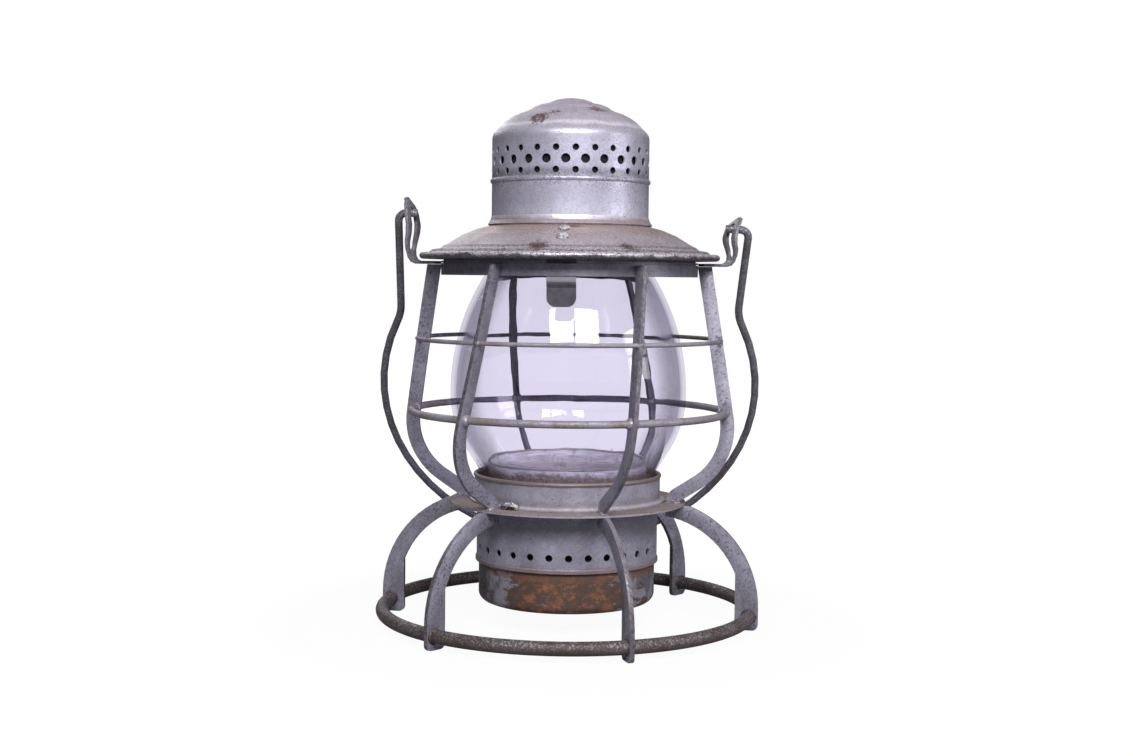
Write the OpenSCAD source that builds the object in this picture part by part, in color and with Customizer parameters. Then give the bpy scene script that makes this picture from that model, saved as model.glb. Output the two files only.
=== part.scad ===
// A railroad hand lantern: a six-rib wire-guarded steel cage on splayed legs, a tall clear
// globe, a hinged perforated lid with a spring latch, a wire bail and an oil fount with its
// flat-wick burner. Millimetres, +Z up. The feet stand on z = 0, the middle of the base is
// the origin and the front, with the latch, faces -Y.

/* [Base ring and legs] */
// Radius of the base ring, to the middle of its wire
base_ring_r = 87.3; // [84:0.1:90]
// Diameter of the base ring's wire
base_wire_d = 6.3; // [4:0.1:7]
// Height of the middle of the base ring's wire above the table
base_ring_z = 6.4; // [5:0.1:8]
// How far the feet reach outside the middle of the base ring's wire
foot_out = 4.2; // [3.8:0.1:5]
// Width of a foot, measured along the radius
foot_w = 10.8; // [10:0.1:12]
// Height of the straight part of a foot
foot_h = 10; // [9:0.1:12]
// Radius of the rounded corners of a foot
foot_corner_r = 2.6; // [1:0.1:4]
// Radius of the outer bend of a leg
leg_bend_r = 50.3; // [48:0.1:51]
// Width of a leg between the deck and the foot
leg_w = 7.6; // [6:0.1:9]
// Thickness of a leg, where the bar is spread by the forging
leg_t = 2.1; // [2:0.05:2.6]
// Direction of the first leg, from the front towards the right
leg_turn = 18; // [0:1:30]

/* [Cage] */
// Number of ribs, each one bar with the leg below it
rib_count = 6; // [6:1:6]
// Thickness of a rib
rib_t = 1.9; // [1.5:0.05:2]
// Depth of a rib, from its outer edge to its inner edge
rib_depth = 6.5; // [5.5:0.1:7]
// Largest outer radius of the ribs
rib_bulge_r = 78.7; // [77:0.1:80]
// Height of the widest place of the ribs above the deck
rib_bulge_rise = 35.1; // [34:0.1:38]
// Radius of the bend at the widest place
rib_bend_r = 33.5; // [32:0.5:34]
// Lean of the straight upper part of the ribs
rib_lean = 9; // [8.5:0.1:9.5]
// Distance between the deck's rim and the notch that each rib's bar grips it with
tang_in = 2; // [1.6:0.1:3]
// Radius of the sharp bend between a rib and its leg
tang_bend_r = 0.5; // [0.4:0.1:0.8]
// Height of the ribs' tops above the deck
cage_h = 110.8; // [108:0.1:112]
// Height above the deck at which the ribs start to twist
twist_rise = 6; // [5:0.5:8]
// Twist of the ribs between the deck and the top
cage_twist = 11.5; // [0:0.5:14]
// Distance of the upper guard wire inside the ribs' outer edge
guard_upper_in = 1.2; // [1.1:0.1:5]
// Height of the upper guard wire above the deck
guard_upper_rise = 76.1; // [72:0.1:80]
// Diameter of the upper guard wire
guard_upper_d = 2; // [1.6:0.1:2.6]
// Distance of the lower guard wire inside the ribs' outer edge
guard_lower_in = 4.1; // [2.5:0.1:4.4]
// Height of the lower guard wire above the deck
guard_lower_rise = 42.2; // [40:0.1:45]
// Diameter of the lower guard wire
guard_lower_d = 3.4; // [2.4:0.1:3.8]
// Height of the top band
band_h = 5.5; // [4:0.5:8]

/* [Deck and fount shell] */
// Radius of the deck plate
deck_r = 56; // [55.5:0.1:57]
// Height of the top of the deck plate
deck_z = 58.4; // [57:0.1:60]
// Thickness of the deck plate
deck_t = 1; // [0.8:0.1:1.4]
// Radius of the middle hole of the deck plate
deck_hole_r = 34; // [32:0.5:35]
// Room between the globe's foot and its collar
collar_gap = 1.8; // [1:0.1:2.5]
// Height of the globe's collar above the deck plate
collar_h = 13; // [10:0.5:15]
// Radius of the rolled edge of the collar
collar_bead_r = 1; // [0.8:0.1:1.4]
// Room between the globe's foot and the cup inside it
cup_gap = 1; // [0.6:0.1:1.6]
// Height of the cup above the deck plate
cup_h = 19.4; // [15:0.2:22]
// Outer radius of the shell round the fount
shell_r = 42.9; // [42:0.1:45]
// Height of the shell below the deck
shell_h = 27.4; // [26:0.1:29]
// Number of air holes in the shell
shell_hole_count = 30; // [20:2:36]
// Diameter of an air hole in the shell
shell_hole_d = 3.3; // [2.5:0.1:4.5]
// Height of the row of air holes above the shell's lower edge
shell_hole_rise = 7; // [5:0.5:15]
// Thickness of the sheet steel
sheet_t = 0.8; // [0.6:0.05:1]

/* [Fount and burner] */
// How far the fount hangs below the shell
fount_drop = 19.2; // [16:0.1:20]
// How far the fount's wide drum reaches into the shell
drum_rise = 4; // [3:0.5:5]
// Height of the fount's shoulder above its drum
fount_shoulder_h = 16; // [12:0.5:18]
// Radius of the corner of the fount's bottom
fount_corner_r = 4; // [2:0.5:6]
// Radius of the filler cap
filler_r = 6; // [4:0.5:7]
// Distance of the filler cap from the middle
filler_offset = 25; // [24:0.5:26]
// Radius of the burner's gallery
burner_r = 16; // [15:0.5:17]
// Height of the burner above the fount
burner_h = 16; // [14:0.5:17]
// Width of the flat wick
wick_w = 15.9; // [12:0.1:17]
// Thickness of the flat wick
wick_t = 2.2; // [1.6:0.1:2.6]
// Length of wick that stands above its tube
wick_show = 1.5; // [0.5:0.1:3]
// Length of the wick
wick_l = 48; // [40:1:50]
// Radius of the thumb wheel that raises the wick
wheel_r = 4.5; // [3:0.1:5]

/* [Globe] */
// Radius of the globe at its widest
globe_r = 55.8; // [54:0.1:57]
// Height of the widest place of the globe above the deck
globe_mid_rise = 50.6; // [48:0.1:53]
// Radius of the globe's foot
globe_foot_r = 41.4; // [41.2:0.1:41.8]
// Radius of the globe's neck
globe_neck_r = 34.6; // [33:0.1:36]
// Height of the globe's neck above the ribs
globe_neck_h = 14.8; // [12:0.1:16]
// Radius of the belly's curve above the widest place
globe_upper_bend = 105; // [100:1:110]
// Radius of the belly's curve below the widest place
globe_lower_bend = 50; // [46:1:54]
// Thickness of the glass
glass_t = 2.8; // [2:0.1:3]

/* [Lid] */
// Turn of the lid on the cage
lid_turn = -3.5; // [-8:0.5:8]
// How far the brim reaches outside the top band
brim_out = 10.2; // [9:0.1:10.6]
// Height of the middle of the brim's rolled edge above the ribs
brim_rise = 4; // [3.4:0.1:5]
// Radius of the brim's rolled edge
brim_bead_r = 1.5; // [1:0.1:1.8]
// Room between the globe's neck and the throat of the hood
neck_gap = 0.6; // [0.4:0.1:1.2]
// Height of the hood, from the rolled edge to the foot of the chimney
hood_h = 15.7; // [15:0.1:17]
// Height of the chimney from its foot to its shoulder
chimney_h = 39.1; // [37:0.1:43]
// Height of the cap above the shoulder
cap_h = 19.2; // [16:0.1:21]
// Height of the raised bead above the foot of the chimney
chimney_bead_rise = 19.4; // [16:0.1:20]
// Number of smoke holes in one row
smoke_hole_count = 26; // [20:2:30]
// Diameter of the smoke holes of the middle row
smoke_big_d = 4.2; // [3:0.1:5]
// Diameter of the smoke holes of the outer rows
smoke_small_d = 3; // [2:0.1:3.4]
// Distance of the middle row of smoke holes below the shoulder
smoke_drop = 11; // [9:0.1:12]
// Distance between the rows of smoke holes
smoke_pitch = 5; // [4.2:0.1:6]
// Radius of the hinge barrel
barrel_r = 2.4; // [2:0.1:2.6]
// Radius of the hinge pin
hinge_pin_r = 1.1; // [0.8:0.05:1.3]
// Distance of the hinge pin outside the top band
hinge_out = 6.1; // [5.6:0.1:6.6]
// Depth of the hinge pin below the ribs' tops
hinge_drop = 0.6; // [0.2:0.1:1.2]
// Width of one hinge knuckle
knuckle_w = 6; // [4:0.5:8]

/* [Latch] */
// Width of the latch spring
latch_w = 13; // [10:0.5:15]
// How far the latch tongue hangs below the top band
latch_hang = 13.5; // [9:0.1:16]
// Thickness of the latch spring
latch_t = 0.7; // [0.5:0.05:0.9]
// Height of the latch tongue's hook below the top band
latch_drop = 3.2; // [3:0.1:4]
// How far the latch tongue's hook reaches under the top band
latch_bite = 0.9; // [0.5:0.1:1.2]
// Radius of a rivet head on the lid
rivet_r = 3.1; // [2:0.1:3.6]

/* [Bail and ears] */
// Diameter of the bail's wire
bail_wire_d = 3.7; // [3:0.1:4]
// Height of the middle of the bail's pivot line above the ribs
pivot_rise = 20.9; // [20:0.1:23]
// Slope of the bail's pivot line, from the higher left ear to the right ear
pivot_slope = 2.3; // [0:0.1:2.6]
// How far the bail's round lower part reaches outside its neck
bail_bow_out = 11; // [9:0.1:12]
// Distance from the pivot to the middle of the bail's round part
bail_bow_drop = 95; // [92:0.5:98]
// How far the bail's neck lies inside the mean of its two hooks
bail_neck_in = 0.5; // [0:0.1:1.5]
// Distance of the left hook's leg outside its ear
hook_left_out = 7.3; // [7:0.1:9]
// Distance of the right hook's leg outside its ear
hook_right_out = 9; // [7:0.1:9.6]
// Radius of the hook's bends
hook_bend_r = 4.2; // [3.5:0.1:4.6]
// Length of the bail's end inside the ear
hook_end = 1.8; // [1.2:0.1:2]
// Room between the hanging bail and the legs that stop it
bail_rest_gap = 0.6; // [0.3:0.1:2]
// Distance of the left ear outside the brim
ear_left_out = 3; // [2.8:0.1:3.6]
// Distance of the right ear outside the brim
ear_right_out = 4.6; // [3.4:0.1:5.4]
// Widest width of an ear
ear_w = 15; // [12:0.5:15.5]
// Width of the slot in an ear
ear_slot_w = 5.4; // [5.2:0.1:6.4]
// Thickness of the ears' sheet
ear_t = 1.4; // [1:0.1:1.6]
// Turn of the ears towards the front
ear_turn = 18; // [12:1:20]
// Height of the left ear's tip above its pivot
ear_left_tip = 7.6; // [7:0.1:9]
// Height of the right ear's tip above its pivot
ear_right_tip = 5.8; // [5.4:0.1:8]

/* [Hidden] */
$fn = 96;

// Clearances
seat_gap = 0.1;
running_gap = 0.05;
free_gap = 0.3;
eps = 0.01;
drill_reach = 3;

// Directions in the drawing's plane: x is the radius and y is the height
function unit(v) = v / norm(v);
function left_of(v) = [-v.y, v.x];
function arc(c, r, from, to, steps) =
  [for (i = [0:steps]) let (a = from + (to - from) * i / steps) c + r * [cos(a), sin(a)]];
function side(path, i) = unit(path[i + 1] - path[i]);
// Point i of the path moved by t to the left of the way it runs
function moved(path, i, t) =
  let (before = left_of(side(path, max(i - 1, 0))))
  let (after = left_of(side(path, min(i, len(path) - 2))))
  let (middle = unit(before + after))
  path[i] + middle * t / (middle * before);
// Closed outline of a sheet of thickness t that follows the path
function sheet(path, t) = concat(path, [for (i = [len(path) - 1:-1:0]) moved(path, i, t)]);
function flip(points) = [for (i = [len(points) - 1:-1:0]) points[i]];

// The direction a, from the front towards the right, with the radius along +X
module toward(a) rotate([0, 0, a - 90]) children();
// A round wire bent to a ring
module wire_ring(r, d) rotate_extrude() translate([r, 0]) circle(d = d);
// A sheet turned round the upright axis
module turned_sheet(path, t) rotate_extrude() polygon(sheet(path, t));
// Holes drilled round a wall of radius r
module ring_of_holes(count, d, z, r, start) {
  for (i = [0:count - 1])
    toward(start + i * 360 / count)
      translate([r - drill_reach, 0, z]) rotate([0, 90, 0]) cylinder(d = d, h = 2 * drill_reach);
}

// Heights, each counted from what carries it
foot_r = base_ring_r + foot_out;
deck_bottom_z = deck_z - deck_t;
rib_top_z = deck_z + cage_h;
rib_bulge_z = deck_z + rib_bulge_rise;
guard_upper_z = deck_z + guard_upper_rise;
guard_lower_z = deck_z + guard_lower_rise;
globe_mid_z = deck_z + globe_mid_rise;
globe_top_z = rib_top_z + globe_neck_h;
shell_z = deck_bottom_z - shell_h;
shell_hole_z = shell_z + shell_hole_rise;
fount_z = shell_z - fount_drop;
drum_z = shell_z + drum_rise;
fount_top_z = drum_z + fount_shoulder_h;
brim_z = rib_top_z + brim_rise;
chimney_z = brim_z + hood_h;
chimney_bead_z = chimney_z + chimney_bead_rise;
shoulder_z = chimney_z + chimney_h;
smoke_z = shoulder_z - smoke_drop;
cap_top_z = shoulder_z + cap_h;
hinge_z = rib_top_z - hinge_drop;
pivot_z = rib_top_z + pivot_rise;

// Ribs
rib_bend_c = [rib_bulge_r - rib_bend_r, rib_bulge_z];
tang_outer_r = deck_r - tang_in;
tang_inner_r = tang_outer_r - rib_depth;
tang_low_z = deck_z + seat_gap;
tang_lap = 0.5;
tang_bend_c = [tang_outer_r + tang_bend_r, tang_low_z + tang_lap];
// The slope at which the straight part touches both bends
bend_span = tang_bend_c - rib_bend_c;
rib_slope = -atan2(bend_span.y, bend_span.x) - acos((rib_bend_r + tang_bend_r) / norm(bend_span));
rib_upper_start = rib_bend_c + rib_bend_r * [cos(rib_lean), sin(rib_lean)];
rib_steps = 9;
rib_bend_steps = 13;
tang_bend_steps = 5;
function rib_outer_at(z) = rib_upper_start.x - (z - rib_upper_start.y) * tan(rib_lean);
function rib_inner_at(z) = rib_outer_at(z) - rib_depth / cos(rib_lean);
// The outer edge from the deck to the top, and the inner edge beside it
rib_outer = concat(
  [[tang_outer_r, tang_low_z]],
  arc(tang_bend_c, tang_bend_r, 180, 180 - rib_slope, tang_bend_steps),
  arc(rib_bend_c, rib_bend_r, -rib_slope, rib_lean, rib_bend_steps),
  [for (i = [1:rib_steps]) let (z = rib_upper_start.y + (rib_top_z - rib_upper_start.y) * i / rib_steps)
    [rib_outer_at(z), z]]
);
rib_inner = concat(
  [[tang_inner_r, tang_low_z]],
  arc(tang_bend_c, tang_bend_r + rib_depth, 180, 180 - rib_slope, tang_bend_steps),
  arc(rib_bend_c, rib_bend_r - rib_depth, -rib_slope, rib_lean, rib_bend_steps),
  [for (i = [1:rib_steps]) let (z = rib_upper_start.y + (rib_top_z - rib_upper_start.y) * i / rib_steps)
    [rib_inner_at(z), z]]
);
twist_low_z = deck_z + twist_rise;
guard_upper_r = rib_outer_at(guard_upper_z) - guard_upper_in;
guard_lower_r = rib_outer_at(guard_lower_z) - guard_lower_in;
function twist_at(z) = cage_twist * max(0, (z - twist_low_z) / (rib_top_z - twist_low_z));
// A point of the twisted bar, in the frame whose radius runs along +X at the leg
function twisted(p, s) = let (a = twist_at(p.y))
  [p.x * cos(a) - s * sin(a), p.x * sin(a) + s * cos(a), p.y];
rib_rings = len(rib_outer);
rib_points = [for (i = [0:rib_rings - 1], q = [0:3])
  twisted(q < 2 ? rib_outer[i] : rib_inner[i], (q == 0 || q == 3 ? -1 : 1) * rib_t / 2)];
rib_faces = concat(
  [[0, 1, 2, 3]],
  [for (i = [0:rib_rings - 2], q = [0:3]) let (a = 4 * i + q, b = 4 * i + (q + 1) % 4)
    each [[a, a + 4, b + 4], [a, b + 4, b]]],
  [[4 * rib_rings - 1, 4 * rib_rings - 2, 4 * rib_rings - 3, 4 * rib_rings - 4]]
);

// Legs
leg_c = [foot_r - leg_bend_r, foot_h];
leg_inner_r = leg_bend_r - leg_w;
foot_inner_r = foot_r - foot_w;
leg_under_z = deck_bottom_z - seat_gap;
leg_start = min(
  acos((tang_outer_r + seat_gap - leg_c.x) / leg_bend_r),
  asin((leg_under_z - leg_c.y) / leg_bend_r)
);
leg_start_inner = acos((tang_inner_r - seat_gap - leg_c.x) / leg_inner_r);
leg_end_inner = acos((foot_inner_r - leg_c.x) / leg_inner_r);
leg_outline = concat(
  [[tang_inner_r - seat_gap, tang_bend_c.y], [tang_outer_r + seat_gap, tang_bend_c.y]],
  [[tang_outer_r + seat_gap, leg_under_z]],
  arc(leg_c, leg_bend_r, leg_start, 0, 14),
  arc([foot_r - foot_corner_r, foot_corner_r], foot_corner_r, 0, -90, 5),
  arc([foot_inner_r + foot_corner_r, foot_corner_r], foot_corner_r, -90, -180, 5),
  arc(leg_c, leg_inner_r, leg_end_inner, leg_start_inner, 12)
);

// Cage
band_lift = 0.5;
band_top_z = rib_top_z + band_lift;
band_low_z = band_top_z - band_h;
band_r = rib_inner_at(rib_top_z) - seat_gap;
band_inner_r = band_r - sheet_t;

// Globe and its seat
cup_wall_t = 0.6;
collar_r = globe_foot_r + collar_gap + sheet_t;
cup_r = globe_foot_r - glass_t - cup_gap;
collar_top_z = deck_z + collar_h;
cup_top_z = deck_z + cup_h;
globe_foot_z = deck_z + seat_gap;
globe_upper_c = [globe_r - globe_upper_bend, globe_mid_z];
globe_lower_c = [globe_r - globe_lower_bend, globe_mid_z];
globe_neck_angle = acos((globe_neck_r - globe_upper_c.x) / globe_upper_bend);
globe_cone_angle = 33;
globe_cone_top = globe_lower_c + globe_lower_bend * [cos(globe_cone_angle), -sin(globe_cone_angle)];
globe_foot_top_z = globe_cone_top.y - (globe_cone_top.x - globe_foot_r) / tan(globe_cone_angle);
globe_path = concat(
  [[globe_foot_r, globe_foot_z], [globe_foot_r, globe_foot_top_z]],
  arc(globe_lower_c, globe_lower_bend, -globe_cone_angle, 0, 12),
  [for (i = [1:16]) let (a = globe_neck_angle * i / 16) globe_upper_c + globe_upper_bend * [cos(a), sin(a)]],
  [[globe_neck_r, globe_top_z]]
);

// Fount and burner
fount_wall_t = 0.7;
drum_r = shell_r - sheet_t - free_gap;
neck_r = 9;
filler_neck_r = filler_r - 1.4;
burner_z = fount_top_z;
wick_tube_t = 0.7;
tube_top_z = burner_z + burner_h;
wheel_z = burner_z + 7;
wheel_t = 1.6;
wheel_x = deck_hole_r - 7;
shaft_r = 1.1;
wick_top_z = tube_top_z + wick_show;

// Lid
brim_r = band_r + brim_out;
hinge_r = band_r + hinge_out;
chimney_r = globe_neck_r + neck_gap + 2 * sheet_t + seat_gap;
brim_c = [brim_r - brim_bead_r, brim_z];
throat_r = chimney_r - sheet_t - seat_gap;
hood_path = [
  brim_c + [-brim_bead_r * 0.5, brim_bead_r * 0.4],
  [brim_r - 4.3, brim_z + 1.6],
  [brim_r - 6, brim_z + 2.9],
  [brim_r - 9.5, brim_z + 3.4],
  [brim_r - 11.6, brim_z + 4.9],
  [brim_r - 13, brim_z + 5.5],
  [brim_r - 16.4, brim_z + 7.5],
  [brim_r - 20.4, brim_z + 10],
  [chimney_r + 6.5, chimney_z - 2.9],
  [chimney_r + 1.7, chimney_z - 1.7],
  [throat_r, chimney_z - 0.5],
  [throat_r, chimney_z + 4]
];
// Underside of the hood at the radius r, between the two points of its path about r
function hood_under(r, i) = let (a = hood_path[i], b = hood_path[i + 1])
  a.y + (b.y - a.y) * (r - a.x) / (b.x - a.x) - sheet_t * norm(b - a) / abs(b.x - a.x);
chimney_bead_r = 1.1;
shoulder_bend_r = 4.6;
chimney_path = concat(
  [
    [chimney_r + 1.9, chimney_z - 0.8],
    [chimney_r + 0.7, chimney_z + 0.9],
    [chimney_r, chimney_z + 3],
    [chimney_r, chimney_bead_z - chimney_bead_r]
  ],
  arc([chimney_r - chimney_bead_r / 2, chimney_bead_z], 1.2 * chimney_bead_r, -50, 50, 6),
  [[chimney_r, chimney_bead_z + chimney_bead_r], [chimney_r, shoulder_z]],
  arc([chimney_r - shoulder_bend_r, shoulder_z], shoulder_bend_r, 10, 50, 4),
  [
    [chimney_r * 0.915, cap_top_z - 0.74 * cap_h],
    [chimney_r * 0.855, cap_top_z - 0.62 * cap_h],
    [chimney_r * 0.775, cap_top_z - 0.50 * cap_h],
    [chimney_r * 0.680, cap_top_z - 0.405 * cap_h],
    [chimney_r * 0.575, cap_top_z - 0.335 * cap_h],
    [chimney_r * 0.520, cap_top_z - 0.285 * cap_h],
    [chimney_r * 0.470, cap_top_z - 0.215 * cap_h],
    [chimney_r * 0.400, cap_top_z - 0.165 * cap_h],
    [chimney_r * 0.300, cap_top_z - 0.125 * cap_h],
    [chimney_r * 0.260, cap_top_z - 0.085 * cap_h],
    [chimney_r * 0.180, cap_top_z - 0.03 * cap_h],
    [chimney_r * 0.080, cap_top_z],
    [0, cap_top_z]
  ]
);
skirt_r = band_inner_r - free_gap;
skirt_low_z = band_top_z - 3.4;
skirt_seat_z = band_top_z + free_gap;
skirt_seat_r = band_r;
skirt_top_z = hood_under(skirt_r, 3) - seat_gap;
hinge_gap = 0.2;
leaf_t = 1.2;

// Latch
latch_r = skirt_r - sheet_t;
latch_pivot_z = skirt_top_z - 2;
latch_low_z = band_low_z - latch_hang;
hook_z = band_low_z - latch_drop / 2 - free_gap;

// Bail
bail_r = bail_wire_d / 2;
ear_left_x = brim_r + ear_left_out;
ear_right_x = brim_r + ear_right_out;
hook_left_x = ear_left_x + hook_left_out;
hook_right_x = ear_right_x + hook_right_out;
bail_neck_x = (hook_left_x + hook_right_x) / 2 - bail_neck_in;
bail_bow_r = bail_neck_x + bail_bow_out;
neck_share = 0.2;
bow_angle = acos((bail_neck_x + neck_share * bail_bow_out) / bail_bow_r);
bow_top = [bail_bow_r * cos(bow_angle), bail_bow_drop - bail_bow_r * sin(bow_angle)];
neck_bend_r = (bow_top.x - bail_neck_x) / (1 - cos(bow_angle));
neck_c = [bail_neck_x + neck_bend_r, bow_top.y - neck_bend_r * sin(bow_angle)];
// The bail rests on the legs nearest to the back: its angle from straight down
rest_reach = norm([leg_c.x, pivot_z - leg_c.y]);
rest_slope = atan2(leg_c.x, pivot_z - leg_c.y) + asin((leg_bend_r + bail_r + bail_rest_gap) / rest_reach);
bail_rest = atan(tan(rest_slope) * cos(leg_turn));
// How far the pivot line lies below its middle at the distance x towards the right
function pivot_drop(x) = x * tan(pivot_slope);
// One side of the bail from its end in the ear to the middle of its bow: x outward, y down from
// the middle of the pivot line, and s is 1 on the right and -1 on the left
function bail_side(ear_x, hook_x, s) = let (start_x = hook_x - hook_bend_r) concat(
  [[ear_x - hook_end, s * pivot_drop(ear_x - hook_end)]],
  arc([start_x, s * pivot_drop(start_x) + hook_bend_r], hook_bend_r, -90, 0, 6),
  arc(neck_c, neck_bend_r, 180, 180 - bow_angle, 4),
  [for (i = [1:17]) let (a = -bow_angle + (90 + bow_angle) * i / 18)
    [0, bail_bow_drop] + bail_bow_r * [cos(a), sin(a)]]
);
bail_path = concat(
  [for (p = bail_side(ear_left_x, hook_left_x, -1)) [-p.x, p.y]],
  [[0, bail_bow_drop + bail_bow_r]],
  flip(bail_side(ear_right_x, hook_right_x, 1))
);
bail_sides = 12;
bail_rings = len(bail_path);
function bail_side_way(i) = i == 0 || i == bail_rings - 1
  ? [0, -1]
  : left_of(unit(bail_path[i + 1] - bail_path[i - 1]));
bail_points = [for (i = [0:bail_rings - 1], q = [0:bail_sides - 1])
  let (way = bail_side_way(i), a = 360 * q / bail_sides)
  [bail_path[i].x + bail_r * cos(a) * way.x, bail_r * sin(a), -bail_path[i].y - bail_r * cos(a) * way.y]];
bail_faces = concat(
  [[for (q = [0:bail_sides - 1]) q]],
  [for (i = [0:bail_rings - 2], q = [0:bail_sides - 1])
    let (a = bail_sides * i + q, b = bail_sides * i + (q + 1) % bail_sides)
    each [[a, a + bail_sides, b + bail_sides], [a, b + bail_sides, b]]],
  [[for (q = [bail_sides - 1:-1:0]) bail_sides * (bail_rings - 1) + q]]
);

module base_ring() {
  color("#5a524f") translate([0, 0, base_ring_z]) wire_ring(base_ring_r, base_wire_d);
}
// A drill for a wire that crosses the ribs at height z and radius r
module wire_drill(r, z, d) {
  rotate([0, 0, twist_at(z)]) translate([r, 0, z]) rotate([90, 0, 0])
    cylinder(d = d + 2 * running_gap, h = 4 * leg_t, center = true);
}
module rib(i) {
  color("#9a97a4") toward(leg_turn + i * 360 / rib_count) difference() {
    union() {
      polyhedron(rib_points, rib_faces);
      rotate([90, 0, 0]) linear_extrude(leg_t, center = true) polygon(leg_outline);
    }
    wire_drill(base_ring_r, base_ring_z, base_wire_d);
    wire_drill(guard_upper_r, guard_upper_z, guard_upper_d);
    wire_drill(guard_lower_r, guard_lower_z, guard_lower_d);
  }
}
module guard_wire_upper() {
  color("#6f6d76") translate([0, 0, guard_upper_z]) wire_ring(guard_upper_r, guard_upper_d);
}
module guard_wire_lower() {
  color("#6f6d76") translate([0, 0, guard_lower_z]) wire_ring(guard_lower_r, guard_lower_d);
}
module top_band() {
  color("#8d8b97") translate([0, 0, band_low_z]) difference() {
    cylinder(r = band_r, h = band_h);
    translate([0, 0, -eps]) cylinder(r = band_inner_r, h = band_h + 2 * eps);
  }
}
module deck_plate() {
  color("#8b7f80") difference() {
    translate([0, 0, deck_bottom_z]) cylinder(r = deck_r, h = deck_t);
    translate([0, 0, deck_bottom_z - eps]) cylinder(r = deck_hole_r, h = deck_t + 2 * eps);
    for (i = [0:rib_count - 1])
      toward(leg_turn + i * 360 / rib_count)
        translate([tang_inner_r - 2 * seat_gap, -leg_t / 2 - seat_gap, deck_bottom_z - 1])
          cube([rib_depth + 4 * seat_gap, leg_t + 2 * seat_gap, deck_t + 2]);
  }
}
module globe_collar() {
  color("#93909c") union() {
    turned_sheet([
      [collar_r + 2.2, deck_z + sheet_t + seat_gap],
      [collar_r, deck_z + sheet_t + seat_gap + 0.6],
      [collar_r, collar_top_z - collar_bead_r]
    ], sheet_t);
    translate([0, 0, collar_top_z - collar_bead_r]) wire_ring(collar_r - sheet_t / 2, 2 * collar_bead_r);
  }
}
module burner_cup() {
  color("#b9b8c0") union() {
    turned_sheet([
      [cup_r, deck_z + seat_gap],
      [cup_r, cup_top_z - cup_wall_t]
    ], cup_wall_t);
    translate([0, 0, cup_top_z - cup_wall_t]) wire_ring(cup_r - cup_wall_t / 2, 2 * cup_wall_t);
  }
}
module fount_shell() {
  color("#8f8d99") difference() {
    turned_sheet([
      [shell_r + 0.5, shell_z],
      [shell_r + 0.5, shell_z + 1.4],
      [shell_r, shell_z + 2],
      [shell_r, deck_bottom_z - seat_gap]
    ], sheet_t);
    ring_of_holes(shell_hole_count, shell_hole_d, shell_hole_z, shell_r, 1.2);
  }
}
module fount() {
  outer = concat(
    [[0, fount_z]],
    arc([drum_r - fount_corner_r, fount_z + fount_corner_r], fount_corner_r, -90, 0, 6),
    [
      [drum_r, drum_z],
      [drum_r - 5, drum_z + 2],
      [drum_r - 6, fount_top_z - 3],
      [drum_r - 9, fount_top_z],
      [neck_r, fount_top_z]
    ]
  );
  color("#9a6a4c") difference() {
    turned_sheet(outer, fount_wall_t);
    translate([0, filler_offset, fount_top_z - 3]) cylinder(r = filler_neck_r, h = 6);
  }
}
module filler_cap() {
  color("#8e8b90") translate([0, filler_offset, fount_top_z]) union() {
    translate([0, 0, seat_gap]) cylinder(r = filler_r, h = 4.5);
    translate([0, 0, -fount_wall_t - 1]) cylinder(r = filler_neck_r - seat_gap, h = 3);
  }
}
module burner() {
  color("#a8925a") difference() {
    union() {
      rotate_extrude() polygon([
        [0, burner_z - 3],
        [neck_r - seat_gap, burner_z - 3],
        [neck_r - seat_gap, burner_z + seat_gap],
        [burner_r - 2, burner_z + seat_gap],
        [burner_r - 2, burner_z + 3],
        [burner_r, burner_z + 4],
        [burner_r, burner_z + 5],
        [burner_r - 3, burner_z + 6],
        [burner_r - 4, burner_z + 9],
        [wick_w / 2 + 1.4, burner_z + 12],
        [0, burner_z + 12]
      ]);
      translate([-wick_w / 2 - wick_tube_t - running_gap, -wick_t / 2 - wick_tube_t - running_gap, burner_z])
        cube([wick_w + 2 * wick_tube_t + 2 * running_gap, wick_t + 2 * wick_tube_t + 2 * running_gap, burner_h]);
    }
    translate([-wick_w / 2 - free_gap, -wick_t / 2 - free_gap, burner_z - 4])
      cube([wick_w + 2 * free_gap, wick_t + 2 * free_gap, burner_h + 5]);
    translate([0, -wick_t / 2 - free_gap - 2.2, wheel_z]) rotate([0, 90, 0])
      cylinder(r = shaft_r + running_gap, h = burner_r + 1);
  }
}
module wick() {
  color("#e6dfce") translate([-wick_w / 2, -wick_t / 2, wick_top_z - wick_l]) cube([wick_w, wick_t, wick_l]);
}
module wick_wheel() {
  color("#a8925a") translate([0, -wick_t / 2 - free_gap - 2.2, wheel_z]) rotate([0, 90, 0]) union() {
    translate([0, 0, 1]) cylinder(r = shaft_r, h = wheel_x);
    translate([0, 0, wheel_x - wheel_t + 1]) difference() {
      cylinder(r = wheel_r, h = wheel_t);
      for (i = [0:11])
        rotate([0, 0, i * 30]) translate([wheel_r + 0.3, 0, -1]) cylinder(r = 0.8, h = wheel_t + 2, $fn = 16);
    }
  }
}
module globe() {
  color("#d8d6ec", 0.35) turned_sheet(globe_path, glass_t);
}

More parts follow.
